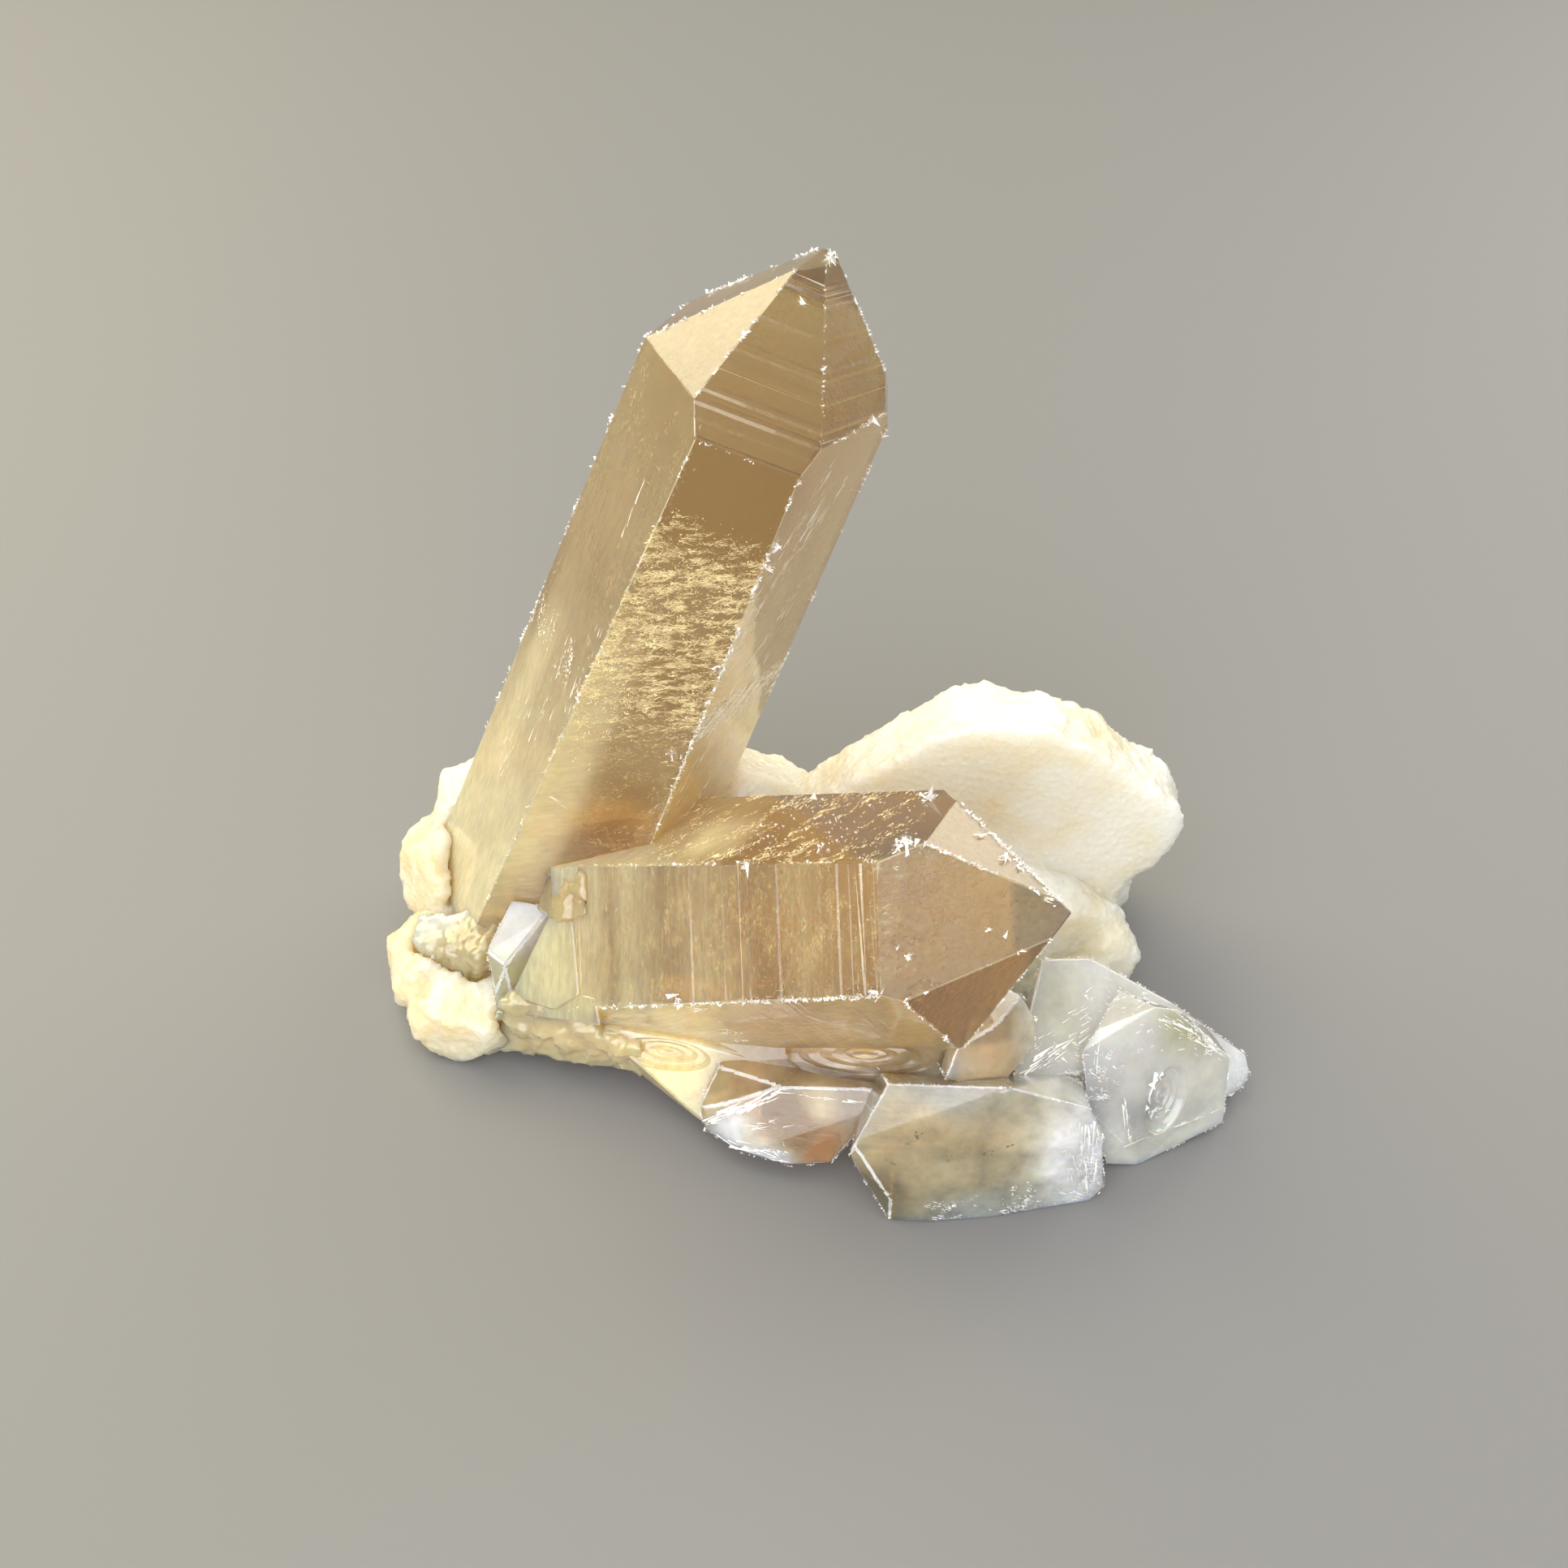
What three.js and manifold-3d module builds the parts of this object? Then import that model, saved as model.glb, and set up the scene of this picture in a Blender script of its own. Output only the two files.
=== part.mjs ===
// A smoky quartz cluster: a tall point and a lying point grown from one root, small clear
// crystals at their foot, and the milky quartz they grew on. Millimetres, +Z up.
// X runs to the right, Y to the back, and the specimen rests on Z = 0.
import * as THREE from 'three';
import { ConvexGeometry } from 'three/addons/geometries/ConvexGeometry.js';
import { mergeVertices } from 'three/addons/utils/BufferGeometryUtils.js';
import Module from 'manifold-3d';

const wasm = await Module();
wasm.setup();

// ---------------------------------------------------------------- driving dimensions
const CLEARANCE = 0.3;          // seam between the clear crystals and the milky quartz
const CORNER_REACH = 1.7;       // how much further a corner moves than the faces that meet there
const ROOT_FLOOR = 1.8;         // height of the two points' broken roots above the table
const HALF_SPACE = 400;         // edge of the block that stands for "everything behind a plane"
const WELD = 1e-4;              // corners closer than this are one corner
const VIEW_SIDE = new THREE.Vector3(0, -0.743, 0.669);  // front and up: roll 0 faces this way

const rad = THREE.MathUtils.degToRad;

// ---------------------------------------------------------------- solids
function toSolid(geometry) {
  const bare = geometry.clone();
  bare.deleteAttribute('normal');
  bare.deleteAttribute('uv');
  const merged = mergeVertices(bare, WELD);
  return new wasm.Manifold(new wasm.Mesh({
    numProp: 3,
    vertProperties: new Float32Array(merged.attributes.position.array),
    triVerts: new Uint32Array(merged.index.array),
  }));
}

function toGeometry(solid) {
  const mesh = solid.getMesh();
  const geometry = new THREE.BufferGeometry();
  geometry.setAttribute('position', new THREE.BufferAttribute(new Float32Array(mesh.vertProperties), 3));
  geometry.setIndex(new THREE.BufferAttribute(new Uint32Array(mesh.triVerts), 1));
  geometry.computeVertexNormals();
  return geometry;
}

function union(solids) {
  return solids.reduce((whole, piece) => whole.add(piece));
}

// Everything behind the plane through `point` with the outward direction `normal`.
function behindPlane(normal, point) {
  const block = new THREE.BoxGeometry(HALF_SPACE, HALF_SPACE, HALF_SPACE);
  block.translate(0, 0, -HALF_SPACE / 2);
  block.applyQuaternion(new THREE.Quaternion().setFromUnitVectors(new THREE.Vector3(0, 0, 1), normal));
  block.translate(point.x, point.y, point.z);
  return toSolid(block);
}

function aboveHeight(height) {
  return behindPlane(new THREE.Vector3(0, 0, -1), new THREE.Vector3(0, 0, height));
}

// ---------------------------------------------------------------- crystals
// The crystal's own directions: its axis, and the two across it from which faces are counted.
function crystalFrame({ azimuth, elevation, roll }) {
  const axis = new THREE.Vector3(
    Math.cos(rad(elevation)) * Math.cos(rad(azimuth)),
    Math.cos(rad(elevation)) * Math.sin(rad(azimuth)),
    Math.sin(rad(elevation)),
  );
  const front = VIEW_SIDE.clone().addScaledVector(axis, -VIEW_SIDE.dot(axis)).normalize();
  const side = front.clone().cross(axis);
  front.applyAxisAngle(axis, -rad(roll));
  side.applyAxisAngle(axis, -rad(roll));
  return { axis, front, side };
}

// A face's outward normal: `angle` is counted round the axis from the front, and `slope` is its
// angle from the axis, 90 on an untapered prism face.
function faceNormal(frame, angle, slope) {
  const turn = rad(angle);
  return new THREE.Vector3()
    .addScaledVector(frame.front, Math.sin(rad(slope)) * Math.cos(turn))
    .addScaledVector(frame.side, Math.sin(rad(slope)) * Math.sin(turn))
    .addScaledVector(frame.axis, Math.cos(rad(slope)))
    .normalize();
}

// A quartz crystal: six prism faces that taper, six termination faces, some small facets and a
// broken root, each at its own distance from `at`. Faces are counted from the front one. `tip`
// has each termination face's slope, its turn from the even spacing, and its distance. `facets`
// has each small facet's slope, its angle round the axis, and its distance.
function crystal(shape, grow = 0) {
  const frame = crystalFrame(shape);
  const at = new THREE.Vector3(...shape.at);
  const cuts = [];
  shape.prism.forEach((distance, index) => {
    cuts.push([faceNormal(frame, 60 * index, 90 - shape.taper[index]), distance]);
  });
  shape.tip.forEach(([slope, turn, distance], index) => {
    cuts.push([faceNormal(frame, 60 * index + turn, slope), distance]);
  });
  shape.facets.forEach(([slope, angle, distance]) => {
    cuts.push([faceNormal(frame, angle, slope), distance]);
  });
  cuts.push([frame.axis.clone().negate(), shape.root]);
  const solids = cuts.map(([normal, distance]) => {
    const point = at.clone().addScaledVector(normal, distance + grow);
    return behindPlane(normal, point);
  });
  return solids.reduce((whole, side) => whole.intersect(side));
}

const TALL_POINT = {
  at: [-15.2, 11.1, 35], azimuth: 6.3, elevation: 70.6, roll: -15,
  prism: [11.3, 9.5, 7.4, 8, 10.1, 10.2], taper: [0.3, 2.1, 1.7, 1, 1.1, 2],
  tip: [
    [48.4, 0, 24.5], [50.1, 2.2, 23.28], [48.4, 0, 23.55],
    [48.4, 0, 24.31], [48.4, 0, 25.43], [50.5, 3.3, 24.08],
  ],
  facets: [[47.2, 95.5, 23.84], [27.1, 30, 31.78], [62.9, -84.9, 21.21]],
  root: 31,
};

const LYING_POINT = {
  at: [-4.8, -3.5, 14], azimuth: -22.7, elevation: 25.6, roll: 1.2,
  prism: [10.3, 10.8, 10, 8, 7.4, 9.3], taper: [0.3, 0.3, 0.7, 0.5, 0.2, 3.4],
  tip: [
    [50.9, -1.2, 19.5], [46.9, -0.1, 22.35], [50, -3.4, 20.33],
    [50, 0, 18.7], [45, 4.1, 19.65], [50.8, 1.2, 18.79],
  ],
  facets: [],
  root: 14,
};

// Small crystals and broken blocks round the foot of the two points, each by its corners.
const BROAD_FRONT = [          // the broad smoky crystal at the front, broken off on the table
  [6.7, -18.1, 13], [4.3, -20.6, 8], [4, -20.7, 6.5], [7.6, -22.6, 3.5], [7.9, -22.4, 0],
  [11.4, -22.4, 0], [16.6, -21.6, 0], [25.2, -19.4, 0], [26.1, -19, 1.5], [24.7, -19, 9],
  [23.3, -18.4, 11.5], [16.5, -18.2, 13.5], [6, -10, 12], [23.5, -11, 11], [24, -10, 0], [8, -12, 0],
];
const CLEAR_LEFT = [           // the clear crystal left of it, its lower side off the table
  [-7.3, -12.8, 8], [-5.6, -11.6, 9], [2.6, -14.2, 10], [-8.7, -15.6, 5], [-8.2, -16.4, 3],
  [-6.4, -15.8, 6], [-1.8, -15.4, 9], [-4.9, -18.2, 2.5], [-0.8, -18.9, 2], [2.7, -18.8, 2.5],
  [6.9, -16.6, 9], [6.8, -16, 11], [-7, -8, 8], [6, -9, 10], [-6, -10, 3], [6, -10, 3],
];
const WEDGE = [                // the little crystal under the lying point's tip
  [17.9, -9.7, 15], [19.3, -10.6, 13], [19.4, -12, 11], [15.8, -16.5, 10.5], [11.4, -17.3, 13],
  [12.2, -15.7, 15], [15.4, -13.3, 15.2], [12, -8, 17], [10, -9, 9], [17, -8, 8],
];
const RIGHT_BLOCK = [          // the pale crystal at the right, its flat face to the front
  [24.2, -11.8, 13.5], [29, -10.2, 15], [30.7, -9.9, 14.5], [37, -9.4, 8], [37.5, -11, 2.5],
  [37.7, -11.2, 1], [29.7, -15.5, 0], [26.9, -15.9, 0.5], [26.1, -15.4, 4], [27.7, -15.7, 3.5],
  [24.1, -15.4, 7.5], [23, -13.3, 12.5], [27, -6, 12], [36, -5.5, 7], [36, -6, 0], [27, -6, 0],
];
const RIGHT_LONG = [           // the long pale crystal behind it, sloping down to the table
  [20.2, -4.5, 14], [24.7, -3.2, 13], [32.6, -4.4, 9], [40.3, -5.3, 3.5], [40.8, -6.5, 2],
  [40, -7.4, 0.8], [17.5, -14.5, 9.5], [24.6, -12.4, 9], [36, -10, 2], [20, -2, 4], [34, -1, 1],
  [18, -10, 2], [26, -12, 1],
];
const LEFT_SMALL = [           // the small crystal on the left with a bright flat face
  [-26.3, -1.4, 14.5], [-22.8, -1.8, 14], [-26.4, -6.2, 11], [-28.1, -5.3, 12], [-24.3, -5, 9],
  [-26, -6.7, 7.5], [-27.5, -6.8, 7.5], [-27, 0, 9], [-22, -1, 8], [-21.6, -1.4, 13],
];
const LEFT_BLOCK = [           // the blocky honey crystal beside it
  [-35.5, 0.6, 9.5], [-27.7, 0, 11.5], [-29.1, -4.6, 10], [-35.6, -2.2, 8], [-29.6, -4.7, 6.5],
  [-35, -2, 5], [-28, 2, 5], [-34, 3, 6], [-24, 0, 8],
];
const LEFT_LEDGE = [           // the pale ledge under the left end of the lying point
  [-27, -8, 8], [-23.8, -6.4, 9.5], [-21.4, -7.2, 10], [-17.8, -9.4, 10.5], [-26.7, -8.2, 7],
  [-21.3, -9.3, 7], [-18.2, -10, 7.5], [-27, -2, 6], [-16, -2, 8], [-20, -2, 11],
];
const LEFT_SKIRT = [           // the honey mass that falls from that ledge towards the table
  [-27, -8, 7], [-21.3, -9.1, 7], [-18, -9.8, 7.5], [-28, -8, 1.5], [-24.2, -8.7, 2],
  [-18.2, -8.9, 2.5], [-13.9, -10.9, 2.5], [-14, -11.4, 7], [-27, 0, 2], [-14, 0, 2], [-14, -2, 9],
];
const FRONT_SKIRT = [          // the same mass further right, under the lying point
  [-18, -9.8, 7.5], [-9.2, -11, 8], [-3, -12.6, 8], [-13.9, -10.9, 2.5], [-11.8, -12.2, 2.5],
  [-8.9, -14.2, 2.5], [-8.1, -15.6, 2.5], [-3.2, -16, 2.5], [-16, 0, 2], [-3, -2, 2], [-4, -4, 9],
];
const UNDER_LEDGE = [          // the thick chipped rim below the lying point's lower face
  [12, -14.6, 14.2], [12.3, -15.8, 11], [6.8, -15.2, 9], [-4.2, -12.7, 6.5], [-9, -12, 6],
  [-9.2, -10.2, 8], [10, -6, 12], [-8, -4, 6], [8, -6, 8],
];
const NOTCH_CHIP = [           // the broken lump in the angle between the two points
  [-23.4, 0.1, 15], [-19.7, -0.4, 16], [-19.2, -1.9, 13.5], [-21, -2, 13], [-22, 2, 12], [-18, 2, 13],
];

const BLOCKS = [
  BROAD_FRONT, CLEAR_LEFT, WEDGE, RIGHT_BLOCK, RIGHT_LONG, LEFT_SMALL, LEFT_BLOCK,
  LEFT_LEDGE, LEFT_SKIRT, FRONT_SKIRT, UNDER_LEDGE, NOTCH_CHIP,
];

// A block is the hull of its corners; to grow it, every corner moves out from the middle.
function block(corners, grow = 0) {
  const points = corners.map((corner) => new THREE.Vector3(...corner));
  const centre = new THREE.Box3().setFromPoints(points).getCenter(new THREE.Vector3());
  for (const point of points) {
    const out = point.clone().sub(centre).normalize();
    point.addScaledVector(out, grow * CORNER_REACH);
  }
  return toSolid(new ConvexGeometry(points));
}

// Shallow hollows: chipped shells on the lying point's rim, and an etched window at the right.
const HOLLOW_SEGMENTS = [20, 12];
const HOLLOWS = [
  { at: [-7.2, -12.4, 7.2], size: [3.6, 1.5, 1.5], turn: -10 },
  { at: [3.4, -14.9, 9.6], size: [6, 1.7, 1.7], turn: -14 },
  { at: [33.2, -12.8, 7.2], size: [2.8, 1.9, 3.6], turn: 20 },
];

function hollow({ at, size, turn }) {
  const ball = new THREE.SphereGeometry(1, ...HOLLOW_SEGMENTS);
  ball.scale(...size);
  ball.rotateZ(rad(turn));
  ball.translate(...at);
  return toSolid(ball);
}

// The crystal again, a little proud of its own faces and cut short, which leaves a growth step.
function growthStep(shape, { proud, tipCut }, grow) {
  const stepped = {
    ...shape,
    prism: shape.prism.map((distance) => distance + proud),
    tip: shape.tip.map(([slope, turn, distance]) => [slope, turn, distance - tipCut]),
  };
  return crystal(stepped, grow);
}

const LYING_STEPS = [
  { proud: 0.16, tipCut: 1.2 },
  { proud: 0.34, tipCut: 2.6 },
  { proud: 0.5, tipCut: 7.5 },
];

function clearCrystals(grow = 0) {
  const steps = LYING_STEPS.map((step) => growthStep(LYING_POINT, step, grow));
  const points = union([crystal(TALL_POINT, grow), crystal(LYING_POINT, grow), ...steps]);
  const blocks = union(BLOCKS.map((corners) => block(corners, grow)));
  const rooted = points.intersect(aboveHeight(ROOT_FLOOR - grow));
  const whole = rooted.add(blocks.intersect(aboveHeight(-grow)));
  return grow > 0 ? whole : HOLLOWS.reduce((solid, pit) => solid.subtract(hollow(pit)), whole);
}

// ---------------------------------------------------------------- milky quartz
const CHIPS = 11;               // flat chips struck off each lump
const CHIP_DEPTHS = [0.86, 0.8, 0.92, 0.84];   // how far from its middle, in lump radii
const LUMP_WAVE = 0.34;         // length of the unevenness, in lump radii
const LUMP_RELIEF = 0.14;       // and its height
const LUMP_DETAIL = 4;

// A smooth repeatable unevenness between about -1 and 1, from a few crossing waves.
function unevenness(p, scale, seed) {
  const a = Math.sin(p.x / scale + 1.7 * seed) * Math.cos(p.y / scale - 0.9 * seed);
  const b = Math.sin(p.z / scale * 1.3 + 2.3 * seed + p.x / scale * 0.7);
  const c = Math.sin((p.y - p.z) / scale * 2.1 + seed) * Math.sin(p.x / scale * 2.4 - seed);
  return (a + b + 0.6 * c) / 2.2;
}

// Directions spread evenly over a ball, turned about Z by `seed`.
function spreadDirections(count, seed) {
  const golden = Math.PI * (3 - Math.sqrt(5));
  return Array.from({ length: count }, (_, i) => {
    const z = 1 - (2 * i + 1) / count;
    const ring = Math.sqrt(1 - z * z);
    const turn = golden * i + seed;
    return new THREE.Vector3(ring * Math.cos(turn), ring * Math.sin(turn), z);
  });
}

// A rough lump: a ball with its surface pushed in and out and flat chips struck off it,
// stretched to `size`.
function lump({ at, size, seed, relief = LUMP_RELIEF, detail = LUMP_DETAIL }) {
  const ball = new THREE.IcosahedronGeometry(1, detail);
  const position = ball.attributes.position;
  const p = new THREE.Vector3();
  for (let i = 0; i < position.count; i += 1) {
    p.fromBufferAttribute(position, i);
    p.multiplyScalar(1 + relief * unevenness(p, LUMP_WAVE, seed));
    position.setXYZ(i, p.x, p.y, p.z);
  }
  let solid = toSolid(ball);
  spreadDirections(CHIPS, seed).forEach((direction, i) => {
    const depth = CHIP_DEPTHS[i % CHIP_DEPTHS.length];
    solid = solid.intersect(behindPlane(direction, direction.clone().multiplyScalar(depth)));
  });
  const chipped = toGeometry(solid);
  chipped.scale(...size);
  chipped.translate(...at);
  return toSolid(chipped);
}

const LUMPS = [
  { at: [-10, 6, 3.6], size: [27, 12, 8], seed: 1, detail: 5, relief: 0.1 },     // the base
  { at: [15, 8, 4], size: [15, 9, 9], seed: 2, relief: 0.12 },                   // below the plate
  { at: [-34, 7.5, 8], size: [5, 5, 6.6], seed: 3 },                             // left, upper lobe
  { at: [-34, -0.6, 4.2], size: [5.2, 5, 5.4], seed: 4 },                        // left, outer lobe
  { at: [-30, -4.8, 3.4], size: [6, 4.8, 4.4], seed: 5 },                        // left, front lobe
  { at: [-30.5, 13, 9.4], size: [6, 6, 8.8], seed: 6 },                          // behind the tall point
  { at: [-25.5, 16, 4.5], size: [5.4, 5, 7], seed: 12 },                         // back of its foot
  { at: [-19, 18, 6], size: [9.5, 6.5, 9], seed: 9 },
  { at: [-7, 14.5, 9], size: [8.5, 6.6, 9.6], seed: 7 },                         // hump beside the plate
  { at: [27.5, 5.5, 4.2], size: [4, 4.6, 4.4], seed: 8 },                        // right foot of the plate
  { at: [8, 17, 6], size: [11, 5.5, 10], seed: 10 },                             // back of the plate
  { at: [23, 15.5, 5], size: [9, 5.5, 9], seed: 11 },                            // and its right end
];

const PLATE_OUTLINE = [        // the plate seen from the front, as X and Z
  [-4, 0], [-5, 9], [-2, 16], [3, 20.6], [9, 24.8], [13.5, 27.2], [20, 26.6], [24.5, 24.6],
  [28.6, 21.4], [33, 19.2], [34.6, 16.4], [33, 13.4], [30, 10], [28.6, 7], [28.4, 3], [26, 0],
];
const PLATE_THICKNESS = 8.5;
const PLATE_FRONT = 8.5;       // Y of its front face
const PLATE_STEPS = 5;
const PLATE_POINTS = 60;       // points round its outline
const PLATE_RELIEF = 0.55;     // height of the unevenness of its rim
const PLATE_WAVE = 1.6;        // and its length
const PLATE_SEED = 9;
const PLATE_SLOPES = [         // planes that trim it: outward direction, and a point on each
  [[0.04, -1, 0.12], [15, 9.4, 18]],       // the smooth front face leans back
  [[0.1, 0.85, 0.45], [15, 16.6, 27.2]],   // the back of the rim falls away
  [[0.6, 0.7, 0.2], [34.2, 15.4, 16]],
  [[-0.5, 0.7, 0.5], [0, 15, 17]],
];

function plate() {
  const corners = PLATE_OUTLINE.map(([x, z]) => new THREE.Vector2(x, z));
  const outline = new THREE.Shape(corners);
  const points = outline.getSpacedPoints(PLATE_POINTS);
  points.pop();
  const slab = new THREE.ExtrudeGeometry(new THREE.Shape(points), {
    depth: PLATE_THICKNESS, steps: PLATE_STEPS, bevelEnabled: false,
  });
  slab.rotateX(Math.PI / 2);
  slab.translate(0, PLATE_FRONT + PLATE_THICKNESS, 0);
  const position = slab.attributes.position;
  const p = new THREE.Vector3();
  for (let i = 0; i < position.count; i += 1) {
    p.fromBufferAttribute(position, i);
    const push = PLATE_RELIEF * unevenness(p, PLATE_WAVE, PLATE_SEED);
    position.setXYZ(i, p.x + push, p.y + 0.5 * push, p.z + push);
  }
  return PLATE_SLOPES.reduce((solid, [direction, point]) => {
    const normal = new THREE.Vector3(...direction).normalize();
    return solid.intersect(behindPlane(normal, new THREE.Vector3(...point)));
  }, toSolid(slab));
}

function milkyMatrix() {
  const rough = union([...LUMPS.map((shape) => lump(shape)), plate()]).intersect(aboveHeight(0));
  return rough.subtract(clearCrystals(CLEARANCE));
}

// ---------------------------------------------------------------- the specimen
const smokyQuartz = new THREE.MeshStandardMaterial({ color: 0xb9925a, roughness: 0.06, metalness: 0 });
const milkyQuartz = new THREE.MeshStandardMaterial({ color: 0xe9e2d2, roughness: 0.55, metalness: 0 });

function piece(name, solid, material) {
  const mesh = new THREE.Mesh(toGeometry(solid), material);
  mesh.name = name;
  return mesh;
}

const specimen = new THREE.Group();
specimen.add(piece('smoky_crystals', clearCrystals(), smokyQuartz));
specimen.add(piece('milky_matrix', milkyMatrix(), milkyQuartz));

// The origin is on the table under the middle of the specimen's box.
const box = new THREE.Box3().setFromObject(specimen);
const middle = box.getCenter(new THREE.Vector3());
specimen.position.set(-middle.x, -middle.y, -box.min.z);

export default specimen;
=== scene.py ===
"""The looks of a smoky quartz cluster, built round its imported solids.

A tall point and a lying point of honey-brown quartz stand in a V on one root. Small pale
crystals grow at their foot, and milky quartz holds them together. Shapes are made in
millimetres, and every finished mesh is brought to metres in the part's own frame.
"""

from __future__ import annotations

import logging
import math
from dataclasses import dataclass
from enum import Enum, IntEnum
from typing import Callable, ClassVar, Iterable, Sequence

import bmesh
import bpy
import numpy as np
from mathutils import Matrix, Quaternion, Vector, noise


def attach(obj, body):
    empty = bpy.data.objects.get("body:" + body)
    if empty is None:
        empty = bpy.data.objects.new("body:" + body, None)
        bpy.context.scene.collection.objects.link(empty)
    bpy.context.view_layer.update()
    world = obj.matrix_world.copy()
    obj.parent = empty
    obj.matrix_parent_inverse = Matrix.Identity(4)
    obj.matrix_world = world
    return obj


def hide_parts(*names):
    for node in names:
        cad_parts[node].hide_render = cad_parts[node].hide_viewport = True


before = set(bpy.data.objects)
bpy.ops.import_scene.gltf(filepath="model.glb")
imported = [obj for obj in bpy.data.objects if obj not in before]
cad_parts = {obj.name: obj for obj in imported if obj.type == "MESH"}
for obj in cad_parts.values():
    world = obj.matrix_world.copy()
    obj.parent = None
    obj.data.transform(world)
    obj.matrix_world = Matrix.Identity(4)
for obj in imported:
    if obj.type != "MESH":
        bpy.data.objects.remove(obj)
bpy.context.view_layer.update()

MM = 0.001
SHIFT = Vector((-0.8557, -1.0543, 0.0))  # brings the shapes' own numbers to the part's origin
VIEW_SIDE = Vector((0.0, -0.743, 0.669))  # front and up, the side that roll 0 faces
QUARTZ_IOR = 1.544
ROOT_FLOOR = 1.8  # how high the points' broken roots stand, in millimetres
LOWEST_FLAKE = 0.3  # no flake's middle lies lower, in millimetres
CLOUD = "cloud"  # the attribute that says how cloudy the quartz is
HUE = "hue"  # the attribute with the clouds' own colour
FROST = "frost"  # the attribute that says how dull each face is
LAY = "lay"  # the attribute with places along, across and under each face's fibres, in millimetres

log = logging.getLogger("smoky_quartz")
Corner = tuple[float, float, float]
Colour = tuple[float, float, float]
Edge = tuple[Vector, Vector]
Socket = bpy.types.NodeSocket


class Slot(Enum):
    """The record's material slots."""

    SMOKY = "smoky_quartz"
    MILKY = "milky_quartz"


class Node(Enum):
    """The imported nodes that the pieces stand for."""

    CRYSTALS = "smoky_crystals"
    MATRIX = "milky_matrix"


# ---------------------------------------------------------------- finishes
def new_material(name: str) -> tuple[bpy.types.Material, bpy.types.Node]:
    """Starts a node material.

    Args:
        name: The material's name.

    Returns:
        The material and its Principled shader.
    """
    material = bpy.data.materials.new(name)
    material.use_nodes = True
    return material, material.node_tree.nodes["Principled BSDF"]


class Weave:
    """Adds nodes to a material's tree, in short lines."""

    def __init__(self, material: bpy.types.Material) -> None:
        """Takes the material whose tree gets the nodes."""
        self.tree = material.node_tree

    def node(self, kind: str, **values: object) -> bpy.types.Node:
        """Adds a node.

        Args:
            kind: The node's type.
            values: Properties, or inputs by name with spaces as underscores. A socket is linked.

        Returns:
            The new node.
        """
        made = self.tree.nodes.new(kind)
        for key, value in values.items():
            socket = made.inputs.get(key.replace("_", " "))
            if socket is None:
                setattr(made, key, value)
            elif isinstance(value, Socket):
                self.link(value, socket)
            else:
                socket.default_value = value
        return made

    def link(self, source: Socket, target: Socket) -> None:
        """Links two sockets."""
        self.tree.links.new(source, target)

    def place(self) -> Socket:
        """Gives the object's own coordinates."""
        return self.node("ShaderNodeTexCoord").outputs["Object"]

    def grain(self, scale: float, detail: float = 4.0, roughness: float = 0.55) -> Socket:
        """Gives a noise on the object's coordinates, from 0 to 1.

        Args:
            scale: Waves in a metre.
            detail: Octaves.
            roughness: How strong the fine octaves are.

        Returns:
            The noise's value.
        """
        made = self.node(
            "ShaderNodeTexNoise", Vector=self.place(), Scale=scale, Detail=detail, Roughness=roughness
        )
        return made.outputs["Fac"]

    def attribute(self, name: str) -> bpy.types.Node:
        """Reads one of the mesh's own attributes."""
        return self.node("ShaderNodeAttribute", attribute_name=name)

    def fibres(self, scale: float, length: float = 1.0) -> Socket:
        """Gives a noise drawn out along each face's own fibres.

        Args:
            scale: Waves in a millimetre.
            length: What their length is divided by, smaller for longer ones.

        Returns:
            The noise's value.
        """
        lay = self.attribute(LAY).outputs["Vector"]
        drawn = self.node("ShaderNodeMapping", Vector=lay, Scale=(length, 1, 1)).outputs["Vector"]
        made = self.node("ShaderNodeTexNoise", Vector=drawn, Scale=scale, Detail=6.0, Roughness=0.62)
        return made.outputs["Fac"]

    def math(self, operation: str, *values: Socket | float) -> Socket:
        """Gives the result of a sum, product or other operation.

        Args:
            operation: Blender's name for it. A minimum is also kept between 0 and 1.
            values: What it works on.

        Returns:
            The result.
        """
        made = self.node("ShaderNodeMath", operation=operation, use_clamp=operation == "MINIMUM")
        for socket, value in zip(made.inputs, values):
            if isinstance(value, Socket):
                self.link(value, socket)
            else:
                socket.default_value = value
        return made.outputs["Value"]

    def ramp(self, value: Socket, stops: Sequence[tuple[float, Sequence[float]]]) -> Socket:
        """Turns a value to a colour.

        Args:
            value: The value that is read.
            stops: Places from 0 to 1 with their colours.

        Returns:
            The colour.
        """
        made = self.node("ShaderNodeValToRGB")
        elements = made.color_ramp.elements
        while len(elements) < len(stops):
            elements.new(0.5)
        for element, (position, colour) in zip(elements, stops):
            element.position = position
            element.color = (*colour, 1.0)
        self.link(value, made.inputs["Fac"])
        return made.outputs["Color"]

    def relief(self, height: Socket, strength: float, distance: float) -> Socket:
        """Gives a normal bent by a height.

        Args:
            height: The height's value.
            strength: How strongly it bends, from 0 to 1.
            distance: Metres that a height of 1 stands for.

        Returns:
            The bent normal.
        """
        made = self.node("ShaderNodeBump", Strength=strength, Distance=distance, Height=height)
        return made.outputs["Normal"]


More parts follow.
